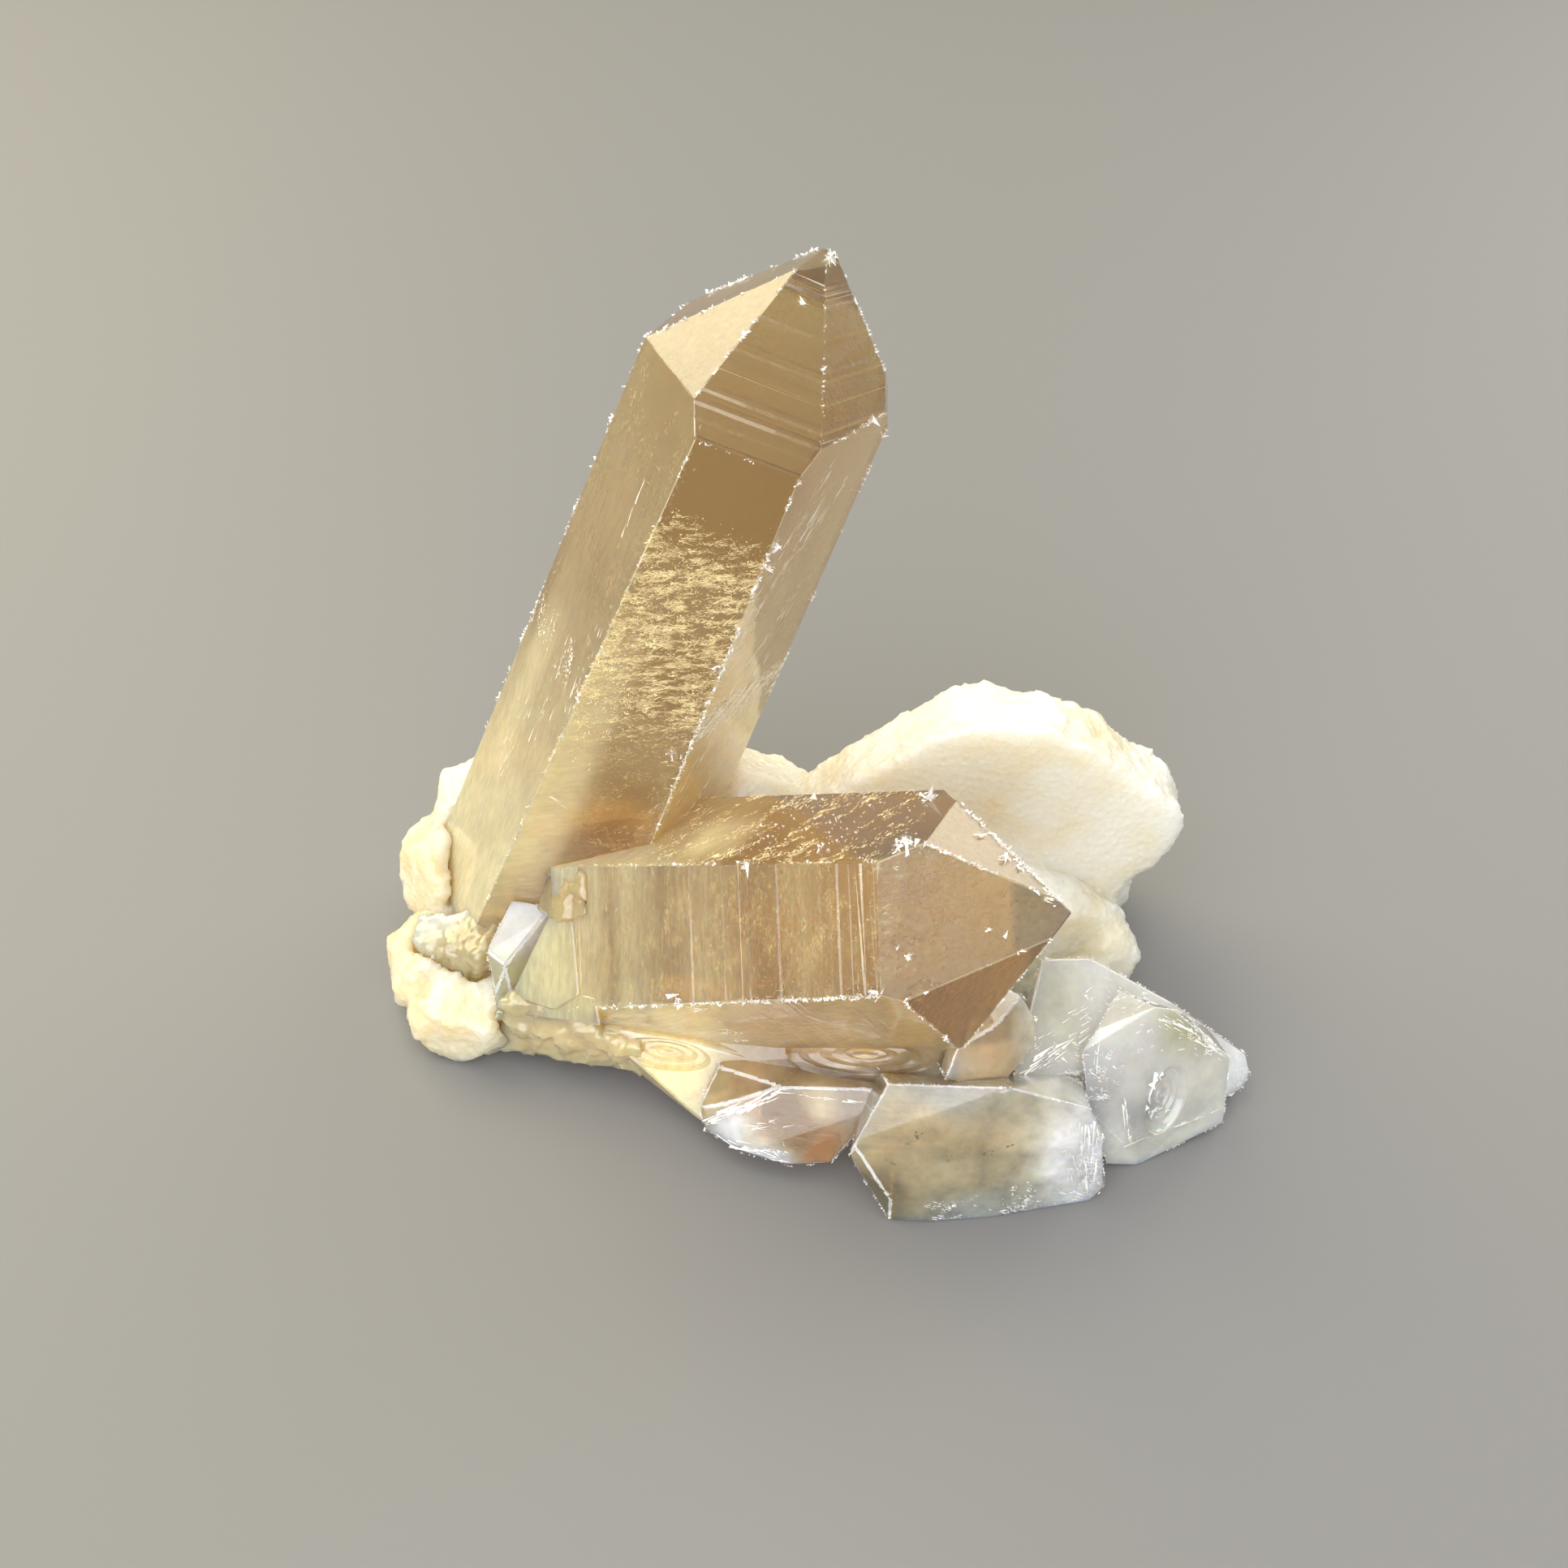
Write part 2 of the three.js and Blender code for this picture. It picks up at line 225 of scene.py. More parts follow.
@dataclass(frozen=True)
class ClearQuartz:
    """See-through quartz, tinted by its depth and clouded by its mesh's attributes."""

    name: str
    tint: Colour  # what is left of white light after `depth`
    depth: float  # millimetres
    wisp: float = 130.0  # waves of the soft clouds in a metre
    fibre: float = 2.6  # waves of the fibres in a millimetre
    soft: float = 0.9  # how much the soft clouds change the cloudiness
    fine: float = 0.9  # and how much the fibres do
    polish: float = 0.02  # the clearest face's roughness
    lines: float = 0.16  # how strongly fine growth lines bend the light
    glow: float = 5.0  # how far light travels in the clouds, in millimetres

    MOST_CLOUD: ClassVar[float] = 0.97
    DULLEST: ClassVar[float] = 0.9
    GLOW_COLOUR: ClassVar[Colour] = (1.0, 0.75, 0.4)  # how far each colour travels in the clouds
    LINE_DEPTH: ClassVar[float] = 0.2  # millimetres

    def strength(self, weave: Weave) -> Socket:
        """Gives the pattern that makes clouds stronger and weaker, round 1.

        Args:
            weave: The material's nodes.

        Returns:
            The pattern's value.
        """
        soft = weave.math("MULTIPLY_ADD", weave.grain(self.wisp), self.soft, 1.0 - self.soft / 2.0)
        both = weave.math("MULTIPLY_ADD", weave.fibres(self.fibre), self.fine, -self.fine / 2.0)
        return weave.math("MAXIMUM", weave.math("ADD", soft, both), 0.0)

    def material(self) -> bpy.types.Material:
        """Makes the glass with its plain absorption and its veils.

        Returns:
            The material.
        """
        material, shader = new_material(self.name)
        weave = Weave(material)
        strength = self.strength(weave)
        share = weave.math("MULTIPLY", strength, weave.attribute(CLOUD).outputs["Fac"])
        cloud = weave.math("MINIMUM", share, self.MOST_CLOUD)
        dull = weave.math("MULTIPLY_ADD", strength, weave.attribute(FROST).outputs["Fac"], self.polish)
        weave.link(weave.attribute(HUE).outputs["Color"], shader.inputs["Base Color"])
        weave.link(weave.math("SUBTRACT", 1.0, cloud), shader.inputs["Transmission Weight"])
        weave.link(weave.math("MINIMUM", dull, self.DULLEST), shader.inputs["Roughness"])
        shader.inputs["Subsurface Weight"].default_value = 1.0
        shader.inputs["Subsurface Radius"].default_value = self.GLOW_COLOUR
        shader.inputs["Subsurface Scale"].default_value = self.glow * MM
        shader.inputs["Coat Weight"].default_value = 1.0
        shader.inputs["Coat Roughness"].default_value = self.polish
        shader.inputs["Coat IOR"].default_value = QUARTZ_IOR
        shader.inputs["IOR"].default_value = QUARTZ_IOR
        output = material.node_tree.nodes["Material Output"]
        weave.link(self.absorption(weave), output.inputs["Volume"])
        height = weave.math("ADD", weave.grain(900.0, 5.0, 0.6), weave.fibres(3.2, 0.12))
        weave.link(weave.relief(height, self.lines, self.LINE_DEPTH * MM), shader.inputs["Normal"])
        return material

    def absorption(self, weave: Weave) -> Socket:
        """Gives the plain absorption that leaves the tint after the depth.

        Args:
            weave: The material's nodes.

        Returns:
            The volume shader.
        """
        taken = [-math.log(share) / (self.depth * MM) for share in self.tint]
        density = max(taken) * 1.05  # a little over the strongest, so that its colour isn't quite 0
        made = weave.node("ShaderNodeVolumeAbsorption", Density=density)
        made.inputs["Color"].default_value = (*[1.0 - part / density for part in taken], 1.0)
        return made.outputs["Volume"]


@dataclass(frozen=True)
class MilkyQuartz:
    """Translucent milk-white quartz with honey stains and a glittering broken surface."""

    name: str = "milky_quartz_broken"
    white: Colour = (0.79, 0.78, 0.70)
    cream: Colour = (0.77, 0.72, 0.56)
    honey: Colour = (0.74, 0.61, 0.37)
    glow: float = 7.0  # how far light travels inside, in millimetres
    warm_side: tuple[float, float] = (-36.0, -12.0)  # where the stains fade out, from left to right
    warmer: tuple[float, float] = (0.16, -0.05)  # what that adds to the stains on the left and right
    stains: float = 140.0  # waves in a metre
    glitter: float = 1500.0  # broken facets in a metre
    facet_depth: float = 0.3  # millimetres

    def material(self) -> bpy.types.Material:
        """Makes the milky material.

        Returns:
            The material.
        """
        material, shader = new_material(self.name)
        weave = Weave(material)
        sideways = weave.node("ShaderNodeSeparateXYZ", Vector=weave.place()).outputs["X"]
        left, right = (place * MM for place in self.warm_side)
        most, least = self.warmer
        warm = weave.node(
            "ShaderNodeMapRange", Value=sideways, From_Min=left, From_Max=right, To_Min=most, To_Max=least
        )
        level = weave.math("ADD", weave.grain(self.stains, 6.0, 0.6), warm.outputs["Result"])
        stain = weave.ramp(level, [(0.38, self.white), (0.56, self.cream), (0.76, self.honey)])
        weave.link(stain, shader.inputs["Base Color"])
        shader.inputs["IOR"].default_value = QUARTZ_IOR
        shader.inputs["Subsurface Weight"].default_value = 0.85
        shader.inputs["Subsurface Radius"].default_value = (1.0, 0.88, 0.66)
        shader.inputs["Subsurface Scale"].default_value = self.glow * MM
        gloss = weave.node("ShaderNodeMapRange", Value=weave.grain(1200.0, 2.0), To_Min=0.18, To_Max=0.6)
        weave.link(gloss.outputs["Result"], shader.inputs["Roughness"])
        facets = weave.node("ShaderNodeTexVoronoi", Vector=weave.place(), Scale=self.glitter)
        relief = weave.relief(facets.outputs["Distance"], 0.55, self.facet_depth * MM)
        weave.link(relief, shader.inputs["Normal"])
        return material


@dataclass(frozen=True)
class Glitter:
    """Small bright flakes: broken edges, dust, the walls of veils, and white flakes that paint sheen on the
    pale crystals.
    """

    name: str
    colour: Colour
    roughness: float = 0.35

    PALER: ClassVar[float] = 1.15
    DULLER: ClassVar[float] = 0.8

    def material(self) -> bpy.types.Material:
        """Makes the flakes' material.

        Returns:
            The material.
        """
        material, shader = new_material(self.name)
        weave = Weave(material)
        pale = [min(1.0, part * self.PALER) for part in self.colour]
        dull = [part * self.DULLER for part in self.colour]
        weave.link(weave.ramp(weave.grain(700.0), [(0.35, dull), (0.65, pale)]), shader.inputs["Base Color"])
        shader.inputs["Roughness"].default_value = self.roughness
        shader.inputs["IOR"].default_value = QUARTZ_IOR
        return material


# ---------------------------------------------------------------- modelling tools
class Shape:
    """A closed mesh in the making, in millimetres."""

    REACH = 160.0  # edge of the block that cuts start from
    WELD = 1e-4
    RIPPLE, RINGS = 0.09, 24.0  # a hollow's rings: their share of its depth, and how close they lie

    def __init__(self) -> None:
        """Starts empty."""
        self.bm = bmesh.new()

    @classmethod
    def block(cls, centre: Vector) -> Shape:
        """Starts from a large block round `centre`.

        Args:
            centre: The block's middle.

        Returns:
            The block.
        """
        shape = cls()
        bmesh.ops.create_cube(shape.bm, size=cls.REACH, matrix=Matrix.Translation(centre))
        return shape

    @classmethod
    def hull(cls, corners: Iterable[Corner]) -> Shape:
        """Starts from the hull of some corners.

        Args:
            corners: The corners.

        Returns:
            The hull, its flat faces whole.
        """
        shape = cls()
        for corner in corners:
            shape.bm.verts.new(Vector(corner) + SHIFT)
        made = bmesh.ops.convex_hull(shape.bm, input=shape.bm.verts[:])
        loose = {item for item in made["geom_interior"] if isinstance(item, bmesh.types.BMVert)}
        bmesh.ops.delete(shape.bm, geom=list(loose), context="VERTS")
        shape.flatten(1.5)
        shape.face_out()
        return shape

    @classmethod
    def dish(cls, centre: Vector, out: Vector, way: Vector, size: Sequence[float]) -> Shape:
        """Starts from a rippled lens that scoops a hollow.

        Args:
            centre: Its middle, on the face that it hollows.
            out: That face's normal.
            way: Roughly its long direction.
            size: Its half-lengths along, across and out.

        Returns:
            The lens.
        """
        shape = cls()
        across = out.cross(way).normalized()
        axes = Matrix((across.cross(out), across, out)).transposed().to_4x4()
        bmesh.ops.create_uvsphere(shape.bm, u_segments=56, v_segments=40, radius=1.0)
        for vert in shape.bm.verts:
            vert.co.z *= 1.0 + cls.RIPPLE * math.cos(cls.RINGS * math.hypot(vert.co.x, vert.co.y))
        placed = Matrix.Translation(centre) @ axes @ Matrix.Diagonal((*size, 1.0))
        bmesh.ops.transform(shape.bm, matrix=placed, verts=shape.bm.verts[:])
        return shape

    def face_out(self) -> None:
        """Turns every face outwards."""
        bmesh.ops.recalc_face_normals(self.bm, faces=self.bm.faces[:])

    def flatten(self, degrees: float) -> None:
        """Joins faces that meet at less than `degrees`.

        Args:
            degrees: The angle.
        """
        bmesh.ops.dissolve_limit(
            self.bm, angle_limit=math.radians(degrees), verts=self.bm.verts[:], edges=self.bm.edges[:]
        )

    def score(self, normal: Vector, point: Vector, cut_off: bool = False) -> list[bmesh.types.BMEdge]:
        """Draws a line of edges round the shape where a plane crosses it.

        Args:
            normal: The plane's normal.
            point: A point on the plane.
            cut_off: Whether what lies beyond the plane is taken away.

        Returns:
            The line's edges.
        """
        cut = bmesh.ops.bisect_plane(
            self.bm,
            geom=self.bm.verts[:] + self.bm.edges[:] + self.bm.faces[:],
            dist=self.WELD,
            plane_co=point,
            plane_no=normal,
            clear_outer=cut_off,
        )
        return [item for item in cut["geom_cut"] if isinstance(item, bmesh.types.BMEdge)]

    def slice_off(self, normal: Vector, point: Vector) -> None:
        """Cuts off what lies beyond a plane and closes the cut.

        Args:
            normal: The plane's normal, on the side that goes.
            point: A point on the plane.
        """
        rim = self.score(normal, point, cut_off=True)
        if rim:
            bmesh.ops.contextual_create(self.bm, geom=rim)

    def blunt(self, width: float, segments: int = 2) -> None:
        """Takes the sharpness off every edge.

        Args:
            width: How far back the edge goes.
            segments: Faces across it.
        """
        bmesh.ops.bevel(
            self.bm,
            geom=self.bm.edges[:],
            offset=width,
            segments=segments,
            profile=0.5,
            affect="EDGES",
            material=-1,
            clamp_overlap=True,
        )

    def move(self, push: Callable[[Vector], Vector]) -> None:
        """Moves every corner by what `push` gives for it."""
        for vert in self.bm.verts:
            vert.co += push(vert.co)

    def refine(self, longest: float, rounds: int = 5) -> None:
        """Splits edges until none is longer than `longest`.

        Args:
            longest: The longest edge left.
            rounds: Most times that edges are halved.
        """
        bmesh.ops.triangulate(self.bm, faces=self.bm.faces[:])
        for _ in range(rounds):
            long_edges = [edge for edge in self.bm.edges if edge.calc_length() > longest]
            if not long_edges:
                break
            bmesh.ops.subdivide_edges(self.bm, edges=long_edges, cuts=1)
            bmesh.ops.triangulate(self.bm, faces=self.bm.faces[:])

    def finish(self, name: str) -> bpy.types.Object:
        """Turns the shape into an object, still in millimetres.

        Args:
            name: The object's name.

        Returns:
            The object, in the scene.
        """
        bmesh.ops.remove_doubles(self.bm, verts=self.bm.verts[:], dist=self.WELD)
        self.face_out()
        mesh = bpy.data.meshes.new(name)
        self.bm.to_mesh(mesh)
        self.bm.free()
        return show(name, mesh)


def show(name: str, data: bpy.types.ID) -> bpy.types.Object:
    """Puts a mesh, a light or a camera in the scene, as an object.

    Args:
        name: The object's name.
        data: Its mesh, light or camera.

    Returns:
        The object.
    """
    made = bpy.data.objects.new(name, data)
    bpy.context.scene.collection.objects.link(made)
    return made


class Join(Enum):
    """How one object changes another."""

    ADD = "UNION"
    CUT = "DIFFERENCE"


def bake_modifiers(target: bpy.types.Object) -> None:
    """Makes an object's modifiers part of its mesh.

    Args:
        target: The object.
    """
    bpy.context.view_layer.update()
    graph = bpy.context.evaluated_depsgraph_get()
    mesh = bpy.data.meshes.new_from_object(target.evaluated_get(graph))
    old = target.data
    target.modifiers.clear()
    target.data = mesh
    bpy.data.meshes.remove(old)


def remove(piece: bpy.types.Object) -> None:
    """Takes an object and its mesh away.

    Args:
        piece: The object.
    """
    mesh = piece.data
    bpy.data.objects.remove(piece)
    bpy.data.meshes.remove(mesh)


def combine(target: bpy.types.Object, tools: Iterable[bpy.types.Object], how: Join) -> None:
    """Joins or cuts an object with others, which are used up.

    Args:
        target: The object that is changed.
        tools: What it is joined or cut with.
        how: Which of the two.
    """
    for tool in tools:
        modifier = target.modifiers.new("combine", "BOOLEAN")
        modifier.operation = how.value
        modifier.solver = "MANIFOLD"
        modifier.object = tool
        bake_modifiers(target)
        remove(tool)


def merge(name: str, parts: Sequence[bpy.types.Object]) -> bpy.types.Object:
    """Puts several objects' meshes in one, without joining their surfaces.

    Args:
        name: The new object's name.
        parts: The objects, which are used up.

    Returns:
        The one object.
    """
    body = Shape()
    for part in parts:
        body.bm.from_mesh(part.data)
        remove(part)
    mesh = bpy.data.meshes.new(name)
    body.bm.to_mesh(mesh)
    body.bm.free()
    return show(name, mesh)


def even_out(piece: bpy.types.Object, voxel: float) -> None:
    """Gives a piece one skin of even faces, about `voxel` wide.

    Args:
        piece: The piece, in millimetres.
        voxel: How wide a face is.
    """
    modifier = piece.modifiers.new("even", "REMESH")
    modifier.mode = "VOXEL"
    modifier.voxel_size = voxel
    bake_modifiers(piece)


def push_out(piece: bpy.types.Object, height: Callable[[Vector, Vector], float]) -> None:
    """Moves a piece's points out along their normals, and none below the table.

    Args:
        piece: The piece, in millimetres.
        height: Gives how far a point with its normal moves.
    """
    moved = [vertex.co + vertex.normal * height(vertex.co, vertex.normal) for vertex in piece.data.vertices]
    for vertex, place in zip(piece.data.vertices, moved):
        vertex.co = (place.x, place.y, max(place.z, 0.0))


def chipped(place: Vector, size: float, seed: float) -> float:
    """Gives the height of flat chips that lean each its own way.

    Args:
        place: A point of the surface.
        size: How wide a chip is.
        seed: Sets how the chips lean.

    Returns:
        The height, for a chip of height 1.
    """
    _, cells = noise.voronoi(place / size)
    lean = noise.cell_vector(cells[0] * seed) - Vector((0.5, 0.5, 0.5))
    return (place / size - cells[0]).dot(lean) * 2.0


def dress(
    piece: bpy.types.Object, material: bpy.types.Material, node: Node, smooth: bool = False
) -> bpy.types.Object:
    """Brings a piece to metres, gives it its finish and ties it to the part.

    Args:
        piece: The piece, in millimetres.
        material: Its finish.
        node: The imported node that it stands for.
        smooth: Whether its faces are shaded as one soft surface.

    Returns:
        The piece.
    """
    piece.data.transform(Matrix.Scale(MM, 4))
    piece.data.materials.clear()
    piece.data.materials.append(material)
    for face in piece.data.polygons:
        face.use_smooth = smooth
        face.material_index = 0
    piece.data.update()
    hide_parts(node.value)
    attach(piece, "root")
    return piece


# ---------------------------------------------------------------- crystals
@dataclass(frozen=True)
class Crystal:
    """A quartz crystal: tapered prism faces, termination faces, small facets and a broken root.

    Faces are counted in steps of 60 degrees from the front one, and each lies at its own
    distance from `at`. `tip` has each termination face's slope, its turn from the even
    spacing, and its distance. `facets` has each small facet's slope, angle and distance.
    """

    at: Corner
    azimuth: float
    elevation: float
    roll: float
    prism: tuple[float, ...]
    taper: tuple[float, ...]  # degrees
    tip: tuple[tuple[float, float, float], ...]
    facets: tuple[tuple[float, float, float], ...]
    root: float  # how far its broken end is from `at`

    FAR: ClassVar[float] = 100.0  # farther than any edge reaches
    LEVEL: ClassVar[float] = 1e-6  # a face that rises less along an edge doesn't end it

    @property
    def middle(self) -> Vector:
        """The point that the distances are counted from."""
        return Vector(self.at) + SHIFT

    def directions(self) -> tuple[Vector, Vector, Vector]:
        """Gives the axis, the front and the side direction.

        Returns:
            The three unit directions.
        """
        azimuth, elevation = math.radians(self.azimuth), math.radians(self.elevation)
        flat = math.cos(elevation)
        axis = Vector((flat * math.cos(azimuth), flat * math.sin(azimuth), math.sin(elevation)))
        front = (VIEW_SIDE - axis * VIEW_SIDE.dot(axis)).normalized()
        side = front.cross(axis)
        turn = Quaternion(axis, -math.radians(self.roll))
        return axis, turn @ front, turn @ side

    def normal(self, angle: float, slope: float) -> Vector:
        """Gives a face's outward normal.

        Args:
            angle: Degrees round the axis from the front.
            slope: Its angle from the axis, 90 on an untapered prism face.

        Returns:
            The unit normal.
        """
        axis, front, side = self.directions()
        turn, lean = math.radians(angle), math.radians(slope)
        across = front * math.cos(turn) + side * math.sin(turn)
        return across * math.sin(lean) + axis * math.cos(lean)

    def planes(self) -> list[tuple[Vector, float]]:
        """Gives every face as its normal and its distance from the middle.

        Returns:
            The prism faces, the termination faces, the small facets and the broken root.
        """
        found = [(self.normal(60 * k, 90 - self.taper[k]), self.prism[k]) for k in range(6)]
        for k, (slope, turn, reach) in enumerate(self.tip):
            found.append((self.normal(60 * k + turn, slope), reach))
        found += [(self.normal(angle, slope), reach) for slope, angle, reach in self.facets]
        found.append((-self.directions()[0], self.root))
        return found

    def face_axes(self, face: int) -> tuple[Vector, Vector, Vector]:
        """Gives the directions along the axis, across a prism face and out of it.

        Args:
            face: The prism face's number.

        Returns:
            The three unit directions.
        """
        axis = self.directions()[0]
        out = self.normal(60.0 * face, 90.0)
        return axis, out.cross(axis), out

    def point(self, along: float, front: float, side: float) -> Vector:
        """Gives the place of a point that is given in the crystal's own directions."""
        axes = self.directions()
        return self.middle + axes[0] * along + axes[1] * front + axes[2] * side

    def edge(self, first: int, second: int) -> tuple[np.ndarray, np.ndarray]:
        """Gives the two ends of the edge between two faces.

        Args:
            first: One face's number.
            second: The other's.

        Returns:
            The ends, the one nearer to the root first.
        """
        faces = self.planes()
        normals = np.array([normal for normal, _ in faces])
        reaches = np.array([reach for _, reach in faces])
        way = np.cross(normals[first], normals[second])
        way /= np.linalg.norm(way)
        way *= 1.0 if way @ np.array(self.directions()[0]) >= 0 else -1.0
        crossed = np.array((normals[first], normals[second], way))
        start = np.linalg.solve(crossed, np.array((reaches[first], reaches[second], 0.0)))
        low, high = -self.FAR, self.FAR
        for number, (normal, reach) in enumerate(zip(normals, reaches)):
            rise = float(normal @ way)
            if number in (first, second) or abs(rise) < self.LEVEL:
                continue
            crossing = (reach - normal @ start) / rise
            low, high = (low, min(high, crossing)) if rise > 0 else (max(low, crossing), high)
        if low > high:
            raise ValueError(f"faces {first} and {second} don't meet")
        middle = np.array(self.middle)
        return middle + start + way * low, middle + start + way * high

    def holds(self, points: np.ndarray, margin: float) -> np.ndarray:
        """Tells which points lie inside, at least `margin` behind every face.

        Args:
            points: The points, a row each.
            margin: The least depth.

        Returns:
            A truth value for each point.
        """
        inside = points[:, 2] > ROOT_FLOOR + margin
        for normal, distance in self.planes():
            inside &= (points - np.array(self.middle)) @ np.array(normal) < distance - margin
        return inside


@dataclass(frozen=True)
class GrowthLines:
    """Fine steps across a crystal's prism, and broad ones near its tip.

    `shares` says how strong the fine steps are on each of the twelve faces. `steps` are places
    along the axis with how far the faces before them stand proud.
    """

    start: float
    stop: float
    count: int
    depth: float
    seed: int
    shares: tuple[float, ...]
    steps: tuple[tuple[float, float], ...] = ()
    riser: float = 0.2  # how long a step's slope is

    def levels(self) -> list[tuple[float, float]]:
        """Gives places along the axis with their heights, in order.

        Returns:
            The places and heights.
        """
        random = np.random.default_rng(self.seed)
        places = np.sort(random.uniform(self.start, self.stop, self.count))
        found, height = [], 0.0
        for place in places:
            found.append((place, height))
            height = float(random.uniform(-self.depth, self.depth))
            found.append((place + self.riser, height))
        return found

    def height(self, along: float, levels: Sequence[tuple[float, float]], face: int) -> float:
        """Gives how far a face stands proud at a place along the axis.

        Args:
            along: The place.
            levels: What levels() gave.
            face: Which of the crystal's twelve faces.

        Returns:
            Millimetres, negative where it lies lower.
        """
        share = self.shares[face] if face < len(self.shares) else 0.0
        fine = share * float(np.interp(along, *zip(*levels), 0.0, 0.0))
        ends = [item for place, _ in self.steps for item in (place, place + self.riser)]
        highs = [item for k, (_, high) in enumerate(self.steps) for item in (high, self._after(k))]
        broad = float(np.interp(along, ends, highs)) if ends and face == 0 else 0.0
        return fine + broad

    def _after(self, k: int) -> float:
        """Gives how proud the faces beyond step `k` stand."""
        return self.steps[k + 1][1] if k + 1 < len(self.steps) else 0.0


TALL = Crystal(
    at=(-15.2, 11.1, 35.0), azimuth=6.3, elevation=70.6, roll=-15.0,
    prism=(11.3, 9.5, 7.4, 8.0, 10.1, 10.2), taper=(0.3, 2.1, 1.7, 1.0, 1.1, 2.0),
    tip=(
        (48.4, 0.0, 24.5), (50.1, 2.2, 23.28), (48.4, 0.0, 23.55),
        (48.4, 0.0, 24.31), (48.4, 0.0, 25.43), (50.5, 3.3, 24.08),
    ),
    facets=((47.2, 95.5, 23.84), (27.1, 30.0, 31.78), (62.9, -84.9, 21.21)),
    root=31.0,
)
LYING = Crystal(
    at=(-4.8, -3.5, 14.0), azimuth=-22.7, elevation=25.6, roll=1.2,
    prism=(10.3, 10.8, 10.0, 8.0, 7.4, 9.3), taper=(0.3, 0.3, 0.7, 0.5, 0.2, 3.4),
    tip=(
        (50.9, -1.2, 19.5), (46.9, -0.1, 22.35), (50.0, -3.4, 20.33),
        (50.0, 0.0, 18.7), (45.0, 4.1, 19.65), (50.8, 1.2, 18.79),
    ),
    facets=(),
    root=14.0,
)


@dataclass(frozen=True)
class FaceCloud:
    """How one face of a crystal is clouded.

    `along` has the cloudiness at places along the axis, and `frost` the dullness. `spots` are
    clearer or cloudier places: along the axis, across the face, their two half-widths, and the
    change.
    """

    along: tuple[tuple[float, float], ...]
    frost: tuple[tuple[float, float], ...] = ((0, 0.1),)
    streak: tuple[float, float] = (1.0, 0.1)  # the fibres' direction along the axis and across
    spots: tuple[tuple[float, float, float, float, float], ...] = ()
    stretch: float = 0.22  # how much shorter the fibres' noise is read along them
    hue: Colour = (1.0, 0.82, 0.5)


@dataclass(frozen=True)
class Clouding:
    """How cloudy a crystal is, face by face."""

    crystal: Crystal
    faces: dict[int, FaceCloud]
    others: FaceCloud

    SAME_WAY: ClassVar[float] = 0.93  # least cosine between a mesh face's normal and its crystal face's
    AWAY: ClassVar[float] = 1e3

    def distances(self, middles: np.ndarray, normals: np.ndarray) -> np.ndarray:
        """Gives how far mesh faces are from each of the crystal's faces.

        Args:
            middles: The mesh faces' middles.
            normals: Their normals.

        Returns:
            A row for each of the crystal's faces, large where a mesh face leans away.
        """
        rows = []
        for normal, reach in self.crystal.planes()[:-1]:
            gap = np.abs(reach - (middles - np.array(self.crystal.middle)) @ np.array(normal))
            rows.append(np.where(normals @ np.array(normal) > self.SAME_WAY, gap, self.AWAY))
        return np.array(rows)

    def axes(self, index: int) -> list[np.ndarray]:
        """Gives the directions along the axis, across a face and out of it."""
        return [np.array(way) for way in self.crystal.face_axes(index)]

    def cloud(self, index: int, places: np.ndarray) -> np.ndarray:
        """Gives the cloudiness of one of the crystal's faces at some places.

        Args:
            index: The face's number.
            places: The places, a row each.

        Returns:
            The cloudiness at each place.
        """
        look = self.faces.get(index, self.others)
        axis, across, _ = self.axes(index)
        offset = places - np.array(self.crystal.middle)
        along, beside = offset @ axis, offset @ across
        value = np.interp(along, *zip(*look.along))
        for u, v, half_u, half_v, change in look.spots:
            value += change * np.exp(-((along - u) / half_u) ** 4 - ((beside - v) / half_v) ** 4)
        return value

    def frost(self, index: int, places: np.ndarray) -> np.ndarray:
        """Gives the dullness of one of the crystal's faces at some places.

        Args:
            index: The face's number.
            places: The places, a row each.

        Returns:
            The dullness at each place.
        """
        look = self.faces.get(index, self.others)
        along = (places - np.array(self.crystal.middle)) @ self.axes(index)[0]
        return np.interp(along, *zip(*look.frost))

    def lay(self, index: int, places: np.ndarray) -> np.ndarray:
        """Gives the coordinates of some places along, across and under a face's fibres.

        Args:
            index: The face's number.
            places: The places, a row each.

        Returns:
            The coordinates, a row each.
        """
        look = self.faces.get(index, self.others)
        axis, across, out = self.axes(index)
        streak = axis * look.streak[0] + across * look.streak[1]
        streak /= np.linalg.norm(streak)
        beside = np.cross(out, streak)
        return np.stack([places @ streak * look.stretch, places @ beside, places @ out], axis=1)


def refine_object(piece: bpy.types.Object, longest: float) -> None:
    """Splits a piece's edges until none is longer than `longest`.

    Args:
        piece: The piece, in millimetres.
        longest: The longest edge left.
    """
    shape = Shape()
    shape.bm.from_mesh(piece.data)
    shape.refine(longest, 7)
    shape.bm.to_mesh(piece.data)
    shape.bm.free()


@dataclass(frozen=True)
class Patch:
    """A soft patch of one cloudiness and colour round a point."""

    at: Corner
    reach: float
    cloud: float
    frost: float
    hue: Colour


SOFT_MIDDLE = 0.03  # keeps a patch's share finite at its middle


